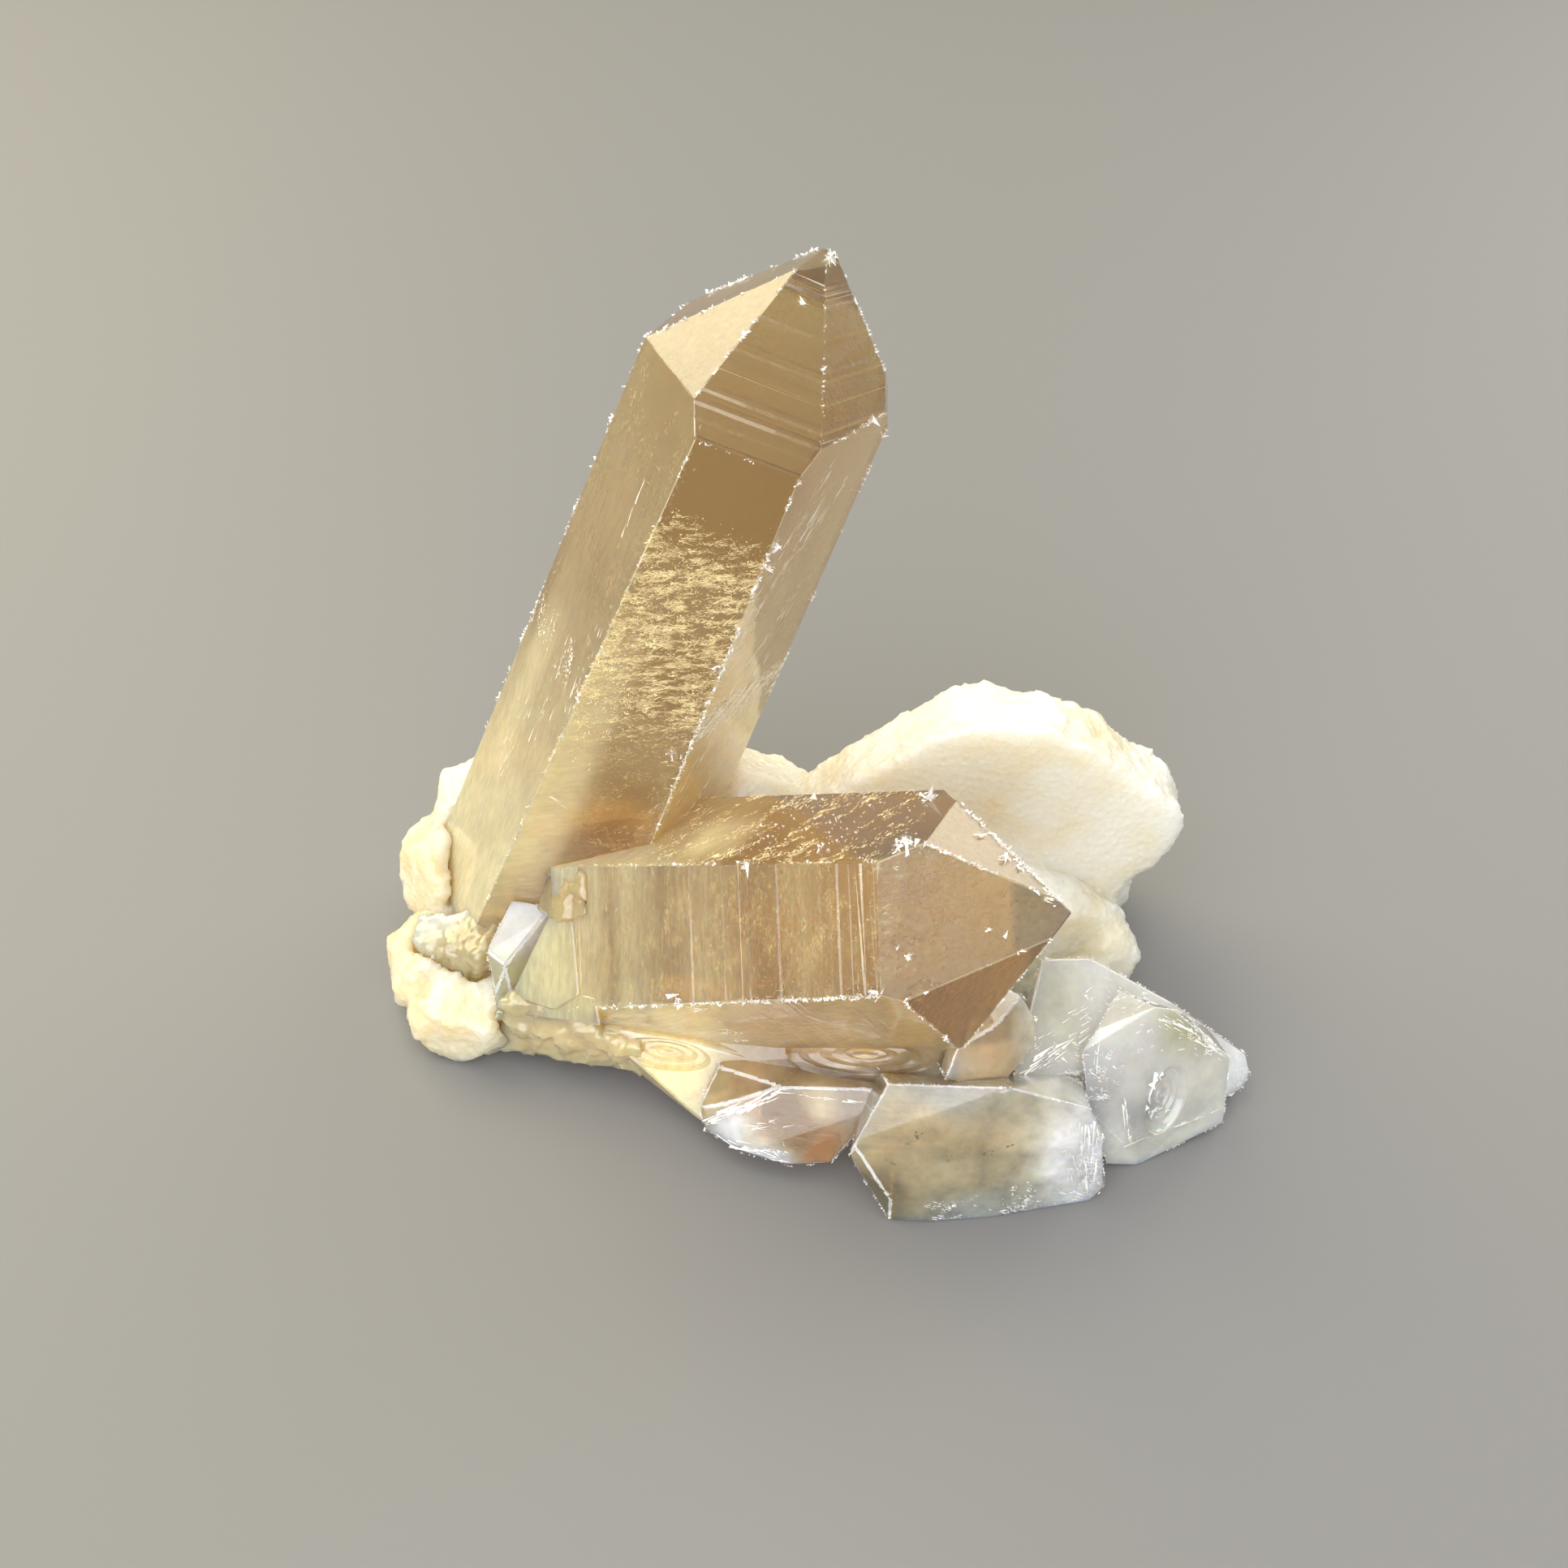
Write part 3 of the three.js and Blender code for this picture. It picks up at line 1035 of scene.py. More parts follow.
def blend(patches: Sequence[Patch], places: np.ndarray) -> tuple[np.ndarray, np.ndarray, np.ndarray]:
    """Blends patches at some places, the nearest most.

    Args:
        patches: The patches.
        places: The places.

    Returns:
        The cloudiness, the dullness and the colour at each place.
    """
    shares = []
    for patch in patches:
        away = np.linalg.norm(places - np.array(Vector(patch.at) + SHIFT), axis=1) / patch.reach
        shares.append(1.0 / (SOFT_MIDDLE + away**4))
    weights = np.array(shares) / np.sum(shares, axis=0)
    clouds = weights.T @ np.array([patch.cloud for patch in patches])
    frosts = weights.T @ np.array([patch.frost for patch in patches])
    return clouds, frosts, weights.T @ np.array([patch.hue for patch in patches])


def read(items: bpy.types.bpy_prop_collection, name: str, width: int = 1, kind: type = float) -> np.ndarray:
    """Reads a property of a mesh's faces, corners or points.

    Args:
        items: The faces, corners or points.
        name: The property's name.
        width: How many numbers it has.
        kind: Their type.

    Returns:
        The numbers, with a row for each item where there are several.
    """
    found = np.zeros(len(items) * width, kind)
    items.foreach_get(name, found)
    return found.reshape(-1, width) if width > 1 else found


BLOCK_STRETCH = 0.5  # how the fibres' noise is read where no table says
FACE_DEPTH = 0.8  # how far from a crystal's face a mesh face still counts as part of it, in millimetres


def cloud_over(piece: bpy.types.Object, tables: Sequence[Clouding], patches: Sequence[Patch]) -> None:
    """Writes the cloudiness, its colour and the fibres' coordinates on a piece's mesh.

    Args:
        piece: The piece, in millimetres.
        tables: The cloudings of the crystals in it.
        patches: What clouds the faces that belong to none of them.
    """
    mesh = piece.data
    count = len(mesh.polygons)
    middles, normals = read(mesh.polygons, "center", 3), read(mesh.polygons, "normal", 3)
    places = read(mesh.vertices, "co", 3)[read(mesh.loops, "vertex_index", kind=int)]
    owner = np.repeat(np.arange(count), read(mesh.polygons, "loop_total", kind=int))
    values, frosts, hues = blend(patches, places)
    lays = places * BLOCK_STRETCH
    rows = [(table, k, row) for table in tables for k, row in enumerate(table.distances(middles, normals))]
    gaps = np.array([np.full(count, Clouding.AWAY)] + [row for _, _, row in rows])
    nearest, least = np.argmin(gaps, axis=0), np.min(gaps, axis=0)
    for number, (table, k, _) in enumerate(rows, 1):
        mine = ((nearest == number) & (least < FACE_DEPTH))[owner]
        values[mine] = table.cloud(k, places[mine])
        frosts[mine] = table.frost(k, places[mine])
        hues[mine] = table.faces.get(k, table.others).hue
        lays[mine] = table.lay(k, places[mine])
    tints = np.concatenate([hues, np.ones((len(hues), 1))], axis=1)
    for name, kind, key, numbers in (
        (CLOUD, "FLOAT", "value", values),
        (FROST, "FLOAT", "value", frosts),
        (LAY, "FLOAT_VECTOR", "vector", lays),
        (HUE, "FLOAT_COLOR", "color", tints),
    ):
        made = mesh.attributes.new(name, kind, "CORNER")
        made.data.foreach_set(key, numbers.astype(np.float32).ravel())


# milky white for the edges' bevel faces: partly chipped wear, partly a painted edge highlight
WORN_AND_HIGHLIT_CLOUD, WORN_AND_HIGHLIT_HUE = 0.6, (1.0, 0.98, 0.9, 1.0)
WORN_AREA = 0.5  # a bevel's face is smaller than this, in square millimetres


def brighten_edges(piece: bpy.types.Object, edges: Sequence[Edge], reach: float) -> None:
    """Makes the narrow faces along some edges milky white: partly chipped wear, partly a painted highlight
    along the edges.

    Args:
        piece: The piece, in millimetres, with its clouds.
        edges: The two ends of each edge.
        reach: How far a face's middle may be from its edge.
    """
    mesh = piece.data
    middles = read(mesh.polygons, "center", 3)
    near = np.zeros(len(middles), bool)
    for start, stop in edges:
        run = np.array(stop - start)
        shares = np.clip((middles - np.array(start)) @ run / (run @ run), 0.0, 1.0)
        near |= np.linalg.norm(middles - np.array(start) - shares[:, None] * run, axis=1) < reach
    for index in np.flatnonzero(near):
        polygon = mesh.polygons[int(index)]
        if polygon.area < WORN_AREA:
            for corner in polygon.loop_indices:
                mesh.attributes[CLOUD].data[corner].value = WORN_AND_HIGHLIT_CLOUD
                mesh.attributes[HUE].data[corner].color = WORN_AND_HIGHLIT_HUE


TALL_CLOUDS = Clouding(
    TALL,
    {
        0: FaceCloud(
            ((-28, 0.2), (-8, 0.12), (6, 0.1), (13, 0.08), (15.5, 0.03), (17.3, 0.0), (26, 0.0)),
            frost=((-28, 0.1), (13, 0.06), (17, 0.02), (26, 0.02)),
            streak=(0.5, -0.85),
            spots=(
                (-8.0, 3.4, 15.0, 2.3, 0.34), (4.0, -2.2, 4.0, 3.0, -0.06), (-11.0, -2.6, 4.5, 2.6, -0.1),
            ),
        ),
        1: FaceCloud(
            ((-28, 0.6), (-12, 0.4), (0, 0.24), (8, 0.16), (26, 0.12)), frost=((-28, 0.2), (26, 0.1)),
            streak=(1.0, 0.12), spots=((-6.0, 0.0, 9.0, 1.6, 0.12), (2.0, 3.0, 6.0, 1.5, -0.1)),
        ),
        2: FaceCloud(((0, 0.0),), frost=((0, 0.5),)),
        3: FaceCloud(((0, 0.0),), frost=((-30, 0.6), (-10, 0.5), (9, 0.05), (18, 0.05), (24, 0.3))),
        4: FaceCloud(((0, 0.0),), frost=((0, 0.5),)),
        5: FaceCloud(
            ((-28, 0.5), (0, 0.28), (12, 0.16), (26, 0.1)), frost=((-28, 0.14), (26, 0.05)),
            streak=(0.8, -0.62), spots=((10.0, 2.0, 10.0, 1.6, 0.1),),
        ),
        6: FaceCloud(((0, 0.06),), frost=((0, 0.03),), streak=(0.1, 1.0)),
        7: FaceCloud(((0, 0.16),), frost=((0, 0.06),)),
        11: FaceCloud(((0, 0.12),), frost=((0, 0.05),), streak=(1.0, 0.5)),
    },
    FaceCloud(((0, 0.1),), frost=((0, 0.4),)),
)
LYING_CLOUDS = Clouding(
    LYING,
    {
        0: FaceCloud(
            (
                (-14, 0.5), (-9, 0.36), (-7.6, 0.2), (-6, 0.3), (-2, 0.16), (2, 0.22), (8, 0.12), (12, 0.16),
                (17, 0.08), (19, 0.1),
            ),
            frost=((0, 0.07),), streak=(0.08, 1.0),
        ),
        1: FaceCloud(
            ((-14, 0.5), (0, 0.3), (5, 0.1), (18, 0.08)), frost=((0, 0.14),), streak=(0.62, 0.8),
            spots=((1.5, -1.5, 3.0, 3.0, 0.3),),
        ),
        5: FaceCloud(((-14, 0.5), (18, 0.26)), frost=((0, 0.08),), streak=(1.0, 0.25)),
        6: FaceCloud(((0, 0.15),), frost=((0, 0.05),), streak=(1.0, 0.3), hue=(1.0, 0.84, 0.56)),
        7: FaceCloud(((0, 0.2),), frost=((0, 0.1),), streak=(1.0, -0.4)),
        11: FaceCloud(((0, 0.08),), frost=((0, 0.05),), streak=(1.0, 0.2)),
    },
    FaceCloud(((0, 0.05),), frost=((0, 0.45),)),
)
TALL_LINES = GrowthLines(
    start=18.0, stop=35.0, count=40, depth=0.05, seed=4,
    shares=(0.0, 0.0, 0.0, 0.0, 0.0, 0.0, 1.0, 0.1, 0.6, 0.6, 0.6, 0.5),
)
LYING_LINES = GrowthLines(
    start=-13.0, stop=18.5, count=64, depth=0.026, seed=9,
    shares=(1.0, 0.3, 0.3, 0.2, 0.2, 0.5, 0.2, 0.2, 0.2, 0.2, 0.2, 0.2),
    steps=((16.9, 0.16), (18.4, 0.08)),
)
HOLLOWS = (  # where, out of which face, along what, and the half-lengths
    ((-12.0, -11.6, 6.9), (-0.2, -0.85, 0.48), (0.95, -0.25, 0.15), (4.4, 1.5, 0.7)),
    ((4.9, -13.8, 10.6), (-0.296, -0.868, 0.396), (0.942, -0.196, 0.276), (7.8, 2.2, 0.8)),
    ((31.4, -12.9, 6.0), (0.42, -0.855, 0.3), (0.1, 0.35, 0.93), (3.5, 2.1, 0.9)),
)


def hollows() -> list[bpy.types.Object]:
    """Builds the tools that scoop the three rippled hollows.

    Returns:
        The three lenses, which the cuts use up.
    """
    found = []
    for at, out, way, size in HOLLOWS:
        lens = Shape.dish(Vector(at) + SHIFT, Vector(out).normalized(), Vector(way), size)
        found.append(lens.finish("hollow"))
    return found


class Points:
    """The tall point and the lying point, with the skirt, ledges and wedge under them."""

    BLUNT, BLOCK_BLUNT = 0.09, 0.2  # how far back the edges go, in millimetres
    LONGEST = 1.2  # the longest edge that carries the clouds
    SAME_FACE = 0.03  # faces that meet at less are one again, in degrees

    UNDER_LEDGE: tuple[Corner, ...] = (
        (12, -14.6, 14.2), (12.3, -15.8, 11), (6.8, -15.2, 9), (-4.2, -12.7, 6.5), (-9, -12, 6),
        (-9.2, -10.2, 8), (10, -6, 12), (-8, -4, 6), (8, -6, 8),
    )
    SKIRT: tuple[Corner, ...] = (
        (-18, -9.6, 7.5), (-9.2, -11, 8), (-3, -12.6, 8), (-13.9, -10.9, 2.5), (-11.8, -12.2, 2.5),
        (-8.9, -14.2, 2.5), (-8.1, -15.6, 2.5), (-3.2, -16, 2.5), (-16, 0, 2), (-3, -2, 2), (-4, -4, 9),
    )
    WEDGE: tuple[Corner, ...] = (
        (-22.7, -4.0, 15.4), (-20.4, -5.1, 16.2), (-19.4, -9.7, 11.8), (-26.1, -7.2, 8.1),
        (-23.4, -6.3, 12.2), (-21.7, -9.7, 9.5), (-20, 0, 8), (-16, -4, 8), (-22, -2, 9),
    )
    LOW_LEDGE: tuple[Corner, ...] = (
        (-28, -5.6, 7.6), (-18.0, -10.1, 12.3), (-17.4, -11.8, 10.4), (-27.3, -7.5, 6.2),
        (-18, -5, 6), (-26, -2, 5),
    )
    PATCHES = (
        Patch((-23, -7, 10), 3, 0.3, 0.05, (1.0, 0.84, 0.54)),
        Patch((-14, -12, 6), 4, 0.75, 0.05, (1.0, 0.72, 0.36)),
        Patch((0, -14, 8), 5, 0.22, 0.06, (1.0, 0.82, 0.52)),
        Patch((0, 6, 4), 8, 0.35, 0.4, (1.0, 0.86, 0.6)),
    )

    def crystal(self, name: str, shape: Crystal, lines: GrowthLines) -> bpy.types.Object:
        """Builds one crystal with blunted edges and growth lines.

        Args:
            name: Its name.
            shape: Its faces.
            lines: Its growth lines.

        Returns:
            The crystal.
        """
        body = Shape.block(shape.middle)
        for normal, distance in shape.planes():
            body.slice_off(normal, shape.middle + normal * distance)
        body.slice_off(Vector((0, 0, -1)), Vector((0, 0, ROOT_FLOOR)))
        body.face_out()
        body.blunt(self.BLUNT, 1)
        axis = shape.directions()[0]
        levels = lines.levels()
        places = [place for place, _ in levels]
        places += [item for place, _ in lines.steps for item in (place, place + lines.riser)]
        for place in places:
            body.score(axis, shape.middle + axis * place)
        faces = shape.planes()[:-1]

        def push(corner: Vector) -> Vector:
            """Moves a corner out of its own face by the height of its line.

            Args:
                corner: The corner.

            Returns:
                How it moves.
            """
            offset = corner - shape.middle
            depths = [distance - offset.dot(normal) for normal, distance in faces]
            face = int(np.argmin(depths))
            return faces[face][0] * lines.height(offset.dot(axis), levels, face)

        body.move(push)
        body.flatten(self.SAME_FACE)
        return body.finish(name)

    def build(self, finish: ClearQuartz) -> bpy.types.Object:
        """Builds the honey-coloured crystals as one piece.

        Args:
            finish: Their finish.

        Returns:
            The piece.
        """
        whole = self.crystal("smoky_points", TALL, TALL_LINES)
        combine(whole, [self.crystal("lying_point", LYING, LYING_LINES)], Join.ADD)
        for corners in (self.UNDER_LEDGE, self.SKIRT, self.WEDGE, self.LOW_LEDGE):
            block = Shape.hull(corners)
            block.blunt(self.BLOCK_BLUNT)
            combine(whole, [block.finish("block")], Join.ADD)
        combine(whole, hollows(), Join.CUT)
        refine_object(whole, self.LONGEST)
        cloud_over(whole, (TALL_CLOUDS, LYING_CLOUDS), self.PATCHES)
        return dress(whole, finish.material(), Node.CRYSTALS)


@dataclass
class HoneyMass:
    """The broken honey-coloured mass that the points grow from, at the left and in front."""

    voxel: float = 0.3
    facet: float = 2.6  # how wide its chips are
    facet_height: float = 0.55
    small_facet: float = 1.1
    small_height: float = 0.16
    grain: float = 0.2  # height of the fine roughness

    BLOCKS: ClassVar[dict[str, tuple[Corner, ...]]] = {
        "left_block": (
            (-35.5, 0.6, 9.5), (-27.7, 0, 11.5), (-29.1, -4.6, 10), (-35.6, -2.2, 8), (-29.6, -4.7, 6.5),
            (-35, -2, 5), (-28, 2, 5), (-34, 3, 6), (-24, 0, 8),
        ),
        "left_ledge": (
            (-27, -8, 8), (-23.8, -6.4, 9.5), (-21.4, -7.2, 10), (-17.8, -9.4, 10.5), (-26.7, -8.2, 7),
            (-21.3, -9.3, 7), (-18.2, -10, 7.5), (-27, -2, 6), (-16, -2, 8), (-20, -2, 11),
        ),
        "left_skirt": (
            (-27, -8, 7), (-21.3, -9.1, 7), (-18, -9.8, 7.5), (-28, -8, 1.5), (-24.2, -8.7, 2),
            (-18.2, -8.9, 2.5), (-13.9, -10.9, 2.5), (-14, -11.4, 7), (-27, 0, 2), (-14, 0, 2), (-14, -2, 9),
        ),
        "notch_lump": (
            (-23.6, -1.0, 17.0), (-22.6, -0.6, 18.5), (-19.4, -3.0, 19.5), (-19.0, -5.6, 17.3),
            (-21.8, -4.9, 15.4), (-23.5, -3.0, 15.2), (-20, 2, 14), (-18, -1, 14),
        ),
        "notch_chip": (
            (-23.4, 0.1, 15), (-19.7, -0.4, 16), (-19.2, -1.9, 13.5), (-21, -2, 13), (-22, 2, 12),
            (-18, 2, 13),
        ),
    }
    PATCHES: ClassVar[tuple[Patch, ...]] = (
        Patch((-30, -3, 9), 4, 0.3, 0.06, (1.0, 0.80, 0.48)),
        Patch((-33, 1, 12), 4, 0.55, 0.1, (1.0, 0.95, 0.82)),
        Patch((-34, -2, 4), 3, 0.55, 0.1, (1.0, 0.95, 0.82)),
        Patch((-20, -9, 5), 4, 0.55, 0.06, (1.0, 0.74, 0.40)),
        Patch((-8, -13, 5), 4, 0.55, 0.06, (1.0, 0.74, 0.40)),
        Patch((-22, -8, 9), 2, 0.25, 0.06, (1.0, 0.80, 0.5)),
        Patch((-21, -2, 17), 3, 0.25, 0.06, (1.0, 0.76, 0.42)),
    )

    def unevenness(self, place: Vector, _normal: Vector) -> float:
        """Gives how far a point of the surface moves out, in millimetres.

        Args:
            place: The point.
            _normal: The surface's direction there, which changes nothing here.

        Returns:
            How far it moves.
        """
        rough = self.grain * noise.fractal(place * 0.8, 0.9, 2.1, 4)
        large = self.facet_height * chipped(place, self.facet, 5.1)
        return large + self.small_height * chipped(place, self.small_facet, 3.7) + rough

    def build(self, finish: ClearQuartz) -> bpy.types.Object:
        """Builds the mass as one piece.

        Args:
            finish: Its finish.

        Returns:
            The piece.
        """
        parts = [Shape.hull(corners).finish(name) for name, corners in self.BLOCKS.items()]
        whole = parts.pop(0)
        whole.name = "honey_mass"
        combine(whole, parts, Join.ADD)
        even_out(whole, self.voxel)
        push_out(whole, self.unevenness)
        cloud_over(whole, (), self.PATCHES)
        return dress(whole, finish.material(), Node.CRYSTALS, smooth=True)


BEIGE = (1.0, 0.75, 0.43)
CREAM = (1.0, 0.94, 0.80)
# milky white, laid partly as a painted reflection where the pale crystals' faces show sheen
MILKY_SHEEN_WHITE = (0.93, 0.97, 0.96)
ROSE = (0.98, 0.82, 0.64)
GREEN_GREY = (1.0, 0.98, 0.87)
STRAW = (0.96, 0.90, 0.60)
AMBER = (0.97, 0.78, 0.50)


class PaleCrystals:
    """The small pale crystals round the foot of the two points."""

    BLOCKS: ClassVar[dict[str, tuple[Corner, ...]]] = {
        "broad_front": (
            (6.7, -18.1, 13), (4.3, -20.6, 8), (4, -20.7, 6.5), (7.6, -22.6, 3.5), (7.9, -22.4, 0),
            (11.4, -22.4, 0), (16.6, -21.6, 0), (25.2, -19.4, 0), (26.1, -19, 1.5), (24.7, -19, 9),
            (23.3, -18.4, 11.5), (16.5, -18.2, 13.5), (6, -12, 8), (23.5, -12, 8), (24, -10, 0), (8, -12, 0),
        ),
        "clear_left": (
            (-7.3, -12.8, 7.2), (-5.6, -11.6, 7.6), (2.6, -14.2, 8.7), (-8.7, -15.6, 5), (-8.2, -16.4, 3),
            (-6.4, -15.8, 6), (-1.8, -15.4, 8.2), (-4.9, -18.2, 2.5), (-0.8, -18.9, 2), (2.7, -18.8, 2.5),
            (6.9, -16.6, 8.4), (6.8, -16, 9.4), (-7, -8, 6.5), (6, -9, 7.5), (-6, -10, 3), (6, -10, 3),
        ),
        "wedge": (
            (17.9, -9.7, 15), (19.3, -10.6, 13), (19.4, -12, 11), (15.8, -16.5, 10.5), (11.4, -17.3, 13),
            (12.2, -15.7, 15), (15.4, -13.3, 15.2), (12, -8, 17), (10, -9, 9), (17, -8, 8),
        ),
        "right_block": (
            (24.2, -11.8, 13.5), (29, -10.2, 15), (30.7, -9.9, 14.5), (37, -9.4, 8), (37.5, -11, 2.5),
            (37.7, -11.2, 1), (29.7, -15.5, 0), (26.9, -15.9, 0.5), (26.1, -15.4, 4), (27.7, -15.7, 3.5),
            (24.1, -15.4, 7.5), (23, -13.3, 12.5), (27, -6, 12), (36, -5.5, 7), (36, -6, 0), (27, -6, 0),
        ),
        "right_long": (
            (20.2, -4.5, 14), (24.7, -3.2, 13), (32.6, -4.4, 9), (40.3, -5.3, 3.5), (40.8, -6.5, 2),
            (40, -7.4, 0.8), (17.5, -14.5, 9.5), (24.6, -12.4, 9), (36, -10, 2), (20, -2, 4), (34, -1, 1),
            (18, -10, 2), (26, -12, 1),
        ),
        "left_small": (
            (-26.3, -1.4, 14.5), (-22.8, -1.8, 14), (-26.4, -6.2, 11), (-28.1, -5.3, 12), (-24.3, -5, 9),
            (-26, -6.7, 7.5), (-27.5, -6.8, 7.5), (-27, 0, 9), (-22, -1, 8), (-21.6, -1.4, 13),
        ),
    }

    SHARP = 0.4  # least angle between two faces that makes an edge, in radians
    BLUNT = 0.24  # how far back the edges go
    WHITENED_REACH = 0.16  # how far from its edge a whitened face's middle may be, worn and painted as highlit
    LONGEST = 1.5  # the longest edge that carries the clouds
    FLAKES = 60000  # places that are tried
    CLUMP = 0.9  # how wide the flakes' clumps are, in millimetres
    SPARSE, LOOSE = 0.5, 0.4  # how few places keep their flake, and how loosely that is decided
    SHEEN_SPOTS = (  # where the flakes that paint sheen and sparkle lie, with how far they reach
        ((25.0, -19.2, 6.0), 4.0), ((13.0, -21.9, 0.8), 3.0), ((19.0, -20.9, 0.8), 3.4),
        ((24.0, -19.4, 1.2), 3.0), ((28.0, -8.0, 11.0), 4.5), ((24.0, -12.5, 9.2), 3.5),
        ((34.0, -9.5, 11.0), 3.0), ((-2.0, -18.6, 2.4), 2.2), ((40.0, -6.5, 2.0), 2.5),
    )
    # the milky white patches are partly cloud in the quartz and partly painted reflection
    PATCHES = (
        Patch((9, -21, 9), 4, 0.3, 0.02, BEIGE),
        Patch((14, -21, 6), 3.5, 0.32, 0.02, AMBER),
        Patch((6.5, -21.6, 4), 2.2, 0.12, 0.02, BEIGE),
        Patch((15, -21.5, 1.0), 3, 0.35, 0.04, CREAM),
        Patch((24.5, -19, 7), 3.5, 0.75, 0.05, MILKY_SHEEN_WHITE),
        Patch((12, -18, 13), 3, 0.25, 0.03, CREAM),
        Patch((-7, -14, 7), 3, 0.2, 0.03, BEIGE),
        Patch((0, -17, 5), 3, 0.06, 0.01, BEIGE),
        Patch((1.5, -16.4, 7), 1.6, 0.4, 0.02, AMBER),
        Patch((-2, -18.5, 2.5), 1.6, 0.5, 0.03, MILKY_SHEEN_WHITE),
        Patch((-6, -16.6, 4.2), 1.6, 0.5, 0.03, MILKY_SHEEN_WHITE),
        Patch((5, -17, 8), 2.5, 0.15, 0.02, CREAM),
        Patch((15, -13, 14), 2.5, 0.14, 0.02, ROSE),
        Patch((18.5, -11, 13), 2, 0.5, 0.05, CREAM),
        Patch((31, -13, 7), 4, 0.42, 0.0, GREEN_GREY),
        Patch((31.5, -13.6, 2), 3, 0.55, 0.04, CREAM),
        Patch((33, -10, 13), 3, 0.35, 0.03, STRAW),
        Patch((25, -14, 8), 2.5, 0.4, 0.02, MILKY_SHEEN_WHITE),
        Patch((28, -8, 10), 4, 0.6, 0.02, MILKY_SHEEN_WHITE),
        Patch((21, -9, 12), 3, 0.45, 0.05, CREAM),
        Patch((40.5, -6.5, 2), 2.5, 0.75, 0.05, MILKY_SHEEN_WHITE),
        Patch((-25, -3, 13), 2.5, 0.43, 0.09, MILKY_SHEEN_WHITE),
        Patch((-26, -6, 9), 2.5, 0.3, 0.05, STRAW),
    )

    def __init__(self, name: str, only: Sequence[str]) -> None:
        """Starts without edges, which are noted as the crystals are built.

        Args:
            name: The piece's name.
            only: The crystals that it is made of.
        """
        self.name, self.only = name, only
        self.edges: list[Edge] = []

    def crystal(self, name: str, corners: Sequence[Corner]) -> bpy.types.Object:
        """Builds one small crystal with flat faces and blunted edges.

        Args:
            name: Its name.
            corners: Its corners.

        Returns:
            The crystal.
        """
        body = Shape.hull(corners)
        for edge in body.bm.edges:
            if edge.calc_face_angle(0.0) > self.SHARP:
                self.edges.append((edge.verts[0].co.copy(), edge.verts[1].co.copy()))
        body.blunt(self.BLUNT, 3)
        return body.finish(name)

    def glitter(self, piece: bpy.types.Object, finish: Glitter) -> bpy.types.Object:
        """Scatters thin white flakes on the pale crystals' faces, in clumps, as a painted sheen and sparkle.

        Args:
            piece: The finished pale crystals.
            finish: The flakes' finish.

        Returns:
            The flakes, as one piece.
        """
        random = np.random.default_rng(Seed.PALE_PLACES)
        mesh = piece.data
        mesh.calc_loop_triangles()
        corners = np.array([list(mesh.vertices[k].co) for tri in mesh.loop_triangles for k in tri.vertices])
        corners = corners.reshape(-1, 3, 3) / MM
        normals = np.array([list(tri.normal) for tri in mesh.loop_triangles])
        areas = np.array([tri.area for tri in mesh.loop_triangles])
        picked = random.choice(len(areas), self.FLAKES, p=areas / areas.sum())
        shares = random.dirichlet((1.0, 1.0, 1.0), self.FLAKES)
        points = np.einsum("nk,nkx->nx", shares, corners[picked])
        near = np.zeros(self.FLAKES)
        for at, reach in self.SHEEN_SPOTS:
            away = np.linalg.norm(points - np.array(Vector(at) + SHIFT), axis=1) / reach
            near = np.maximum(near, 1.0 - away)
        clumps = np.array([noise.fractal(Vector(p) / self.CLUMP, 0.8, 2.2, 4) for p in points])
        kept = clumps + near > self.SPARSE + random.uniform(0.0, self.LOOSE, self.FLAKES)
        kept &= (near > 0) & (points[:, 2] > LOWEST_FLAKE)
        flakes = Splinters((0.15, 0.035, 0.012), Seed.PALE, 0.35)
        streak = Vector((0.9, -0.2, -0.4))
        made = flakes.mesh(f"{self.name}_flakes", points[kept], streak, normals[picked[kept]])
        return dress(made, finish.material(), Node.CRYSTALS)

    def build(self, finish: ClearQuartz) -> bpy.types.Object:
        """Builds the pale crystals as one piece.

        Args:
            finish: Their finish.

        Returns:
            The piece.
        """
        parts = [self.crystal(name, self.BLOCKS[name]) for name in self.only]
        whole = parts.pop(0)
        whole.name = self.name
        combine(whole, parts, Join.ADD)
        combine(whole, hollows(), Join.CUT)
        refine_object(whole, self.LONGEST)
        cloud_over(whole, (), self.PATCHES)
        brighten_edges(whole, self.edges, self.WHITENED_REACH)
        return dress(whole, finish.material(), Node.CRYSTALS)


# ---------------------------------------------------------------- milky quartz
@dataclass
class MilkyMatrix:
    """The milky quartz that the crystals grew on, with a rough broken surface."""

    voxel: float = 0.4
    swell: float = 0.16  # how far the whole surface moves out
    facet: float = 2.3
    facet_height: float = 0.3
    grain: float = 0.24
    smooth_share: float = 0.12  # how rough the plate's front is, next to the rest

    def unevenness(self, place: Vector, normal: Vector) -> float:
        """Gives how far a point of the surface moves out.

        Args:
            place: The point.
            normal: The surface's direction there.

        Returns:
            Millimetres.
        """
        facets = chipped(place, self.facet, 7.3)
        fine = noise.fractal(place * 0.9, 0.9, 2.1, 4)
        smooth_front = normal.y < -0.9 and place.y > 5.0 and place.z > 8.0
        share = self.smooth_share if smooth_front else 1.0
        return self.swell + share * (self.facet_height * facets + self.grain * fine)

    def build(self, finish: MilkyQuartz) -> bpy.types.Object:
        """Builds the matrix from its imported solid.

        Args:
            finish: Its finish.

        Returns:
            The piece.
        """
        copy = Shape()
        copy.bm.from_mesh(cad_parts[Node.MATRIX.value].data)
        bmesh.ops.scale(copy.bm, vec=(1 / MM,) * 3, verts=copy.bm.verts[:])
        whole = copy.finish("milky_quartz")
        even_out(whole, self.voxel)
        push_out(whole, self.unevenness)
        return dress(whole, finish.material(), Node.MATRIX, smooth=True)


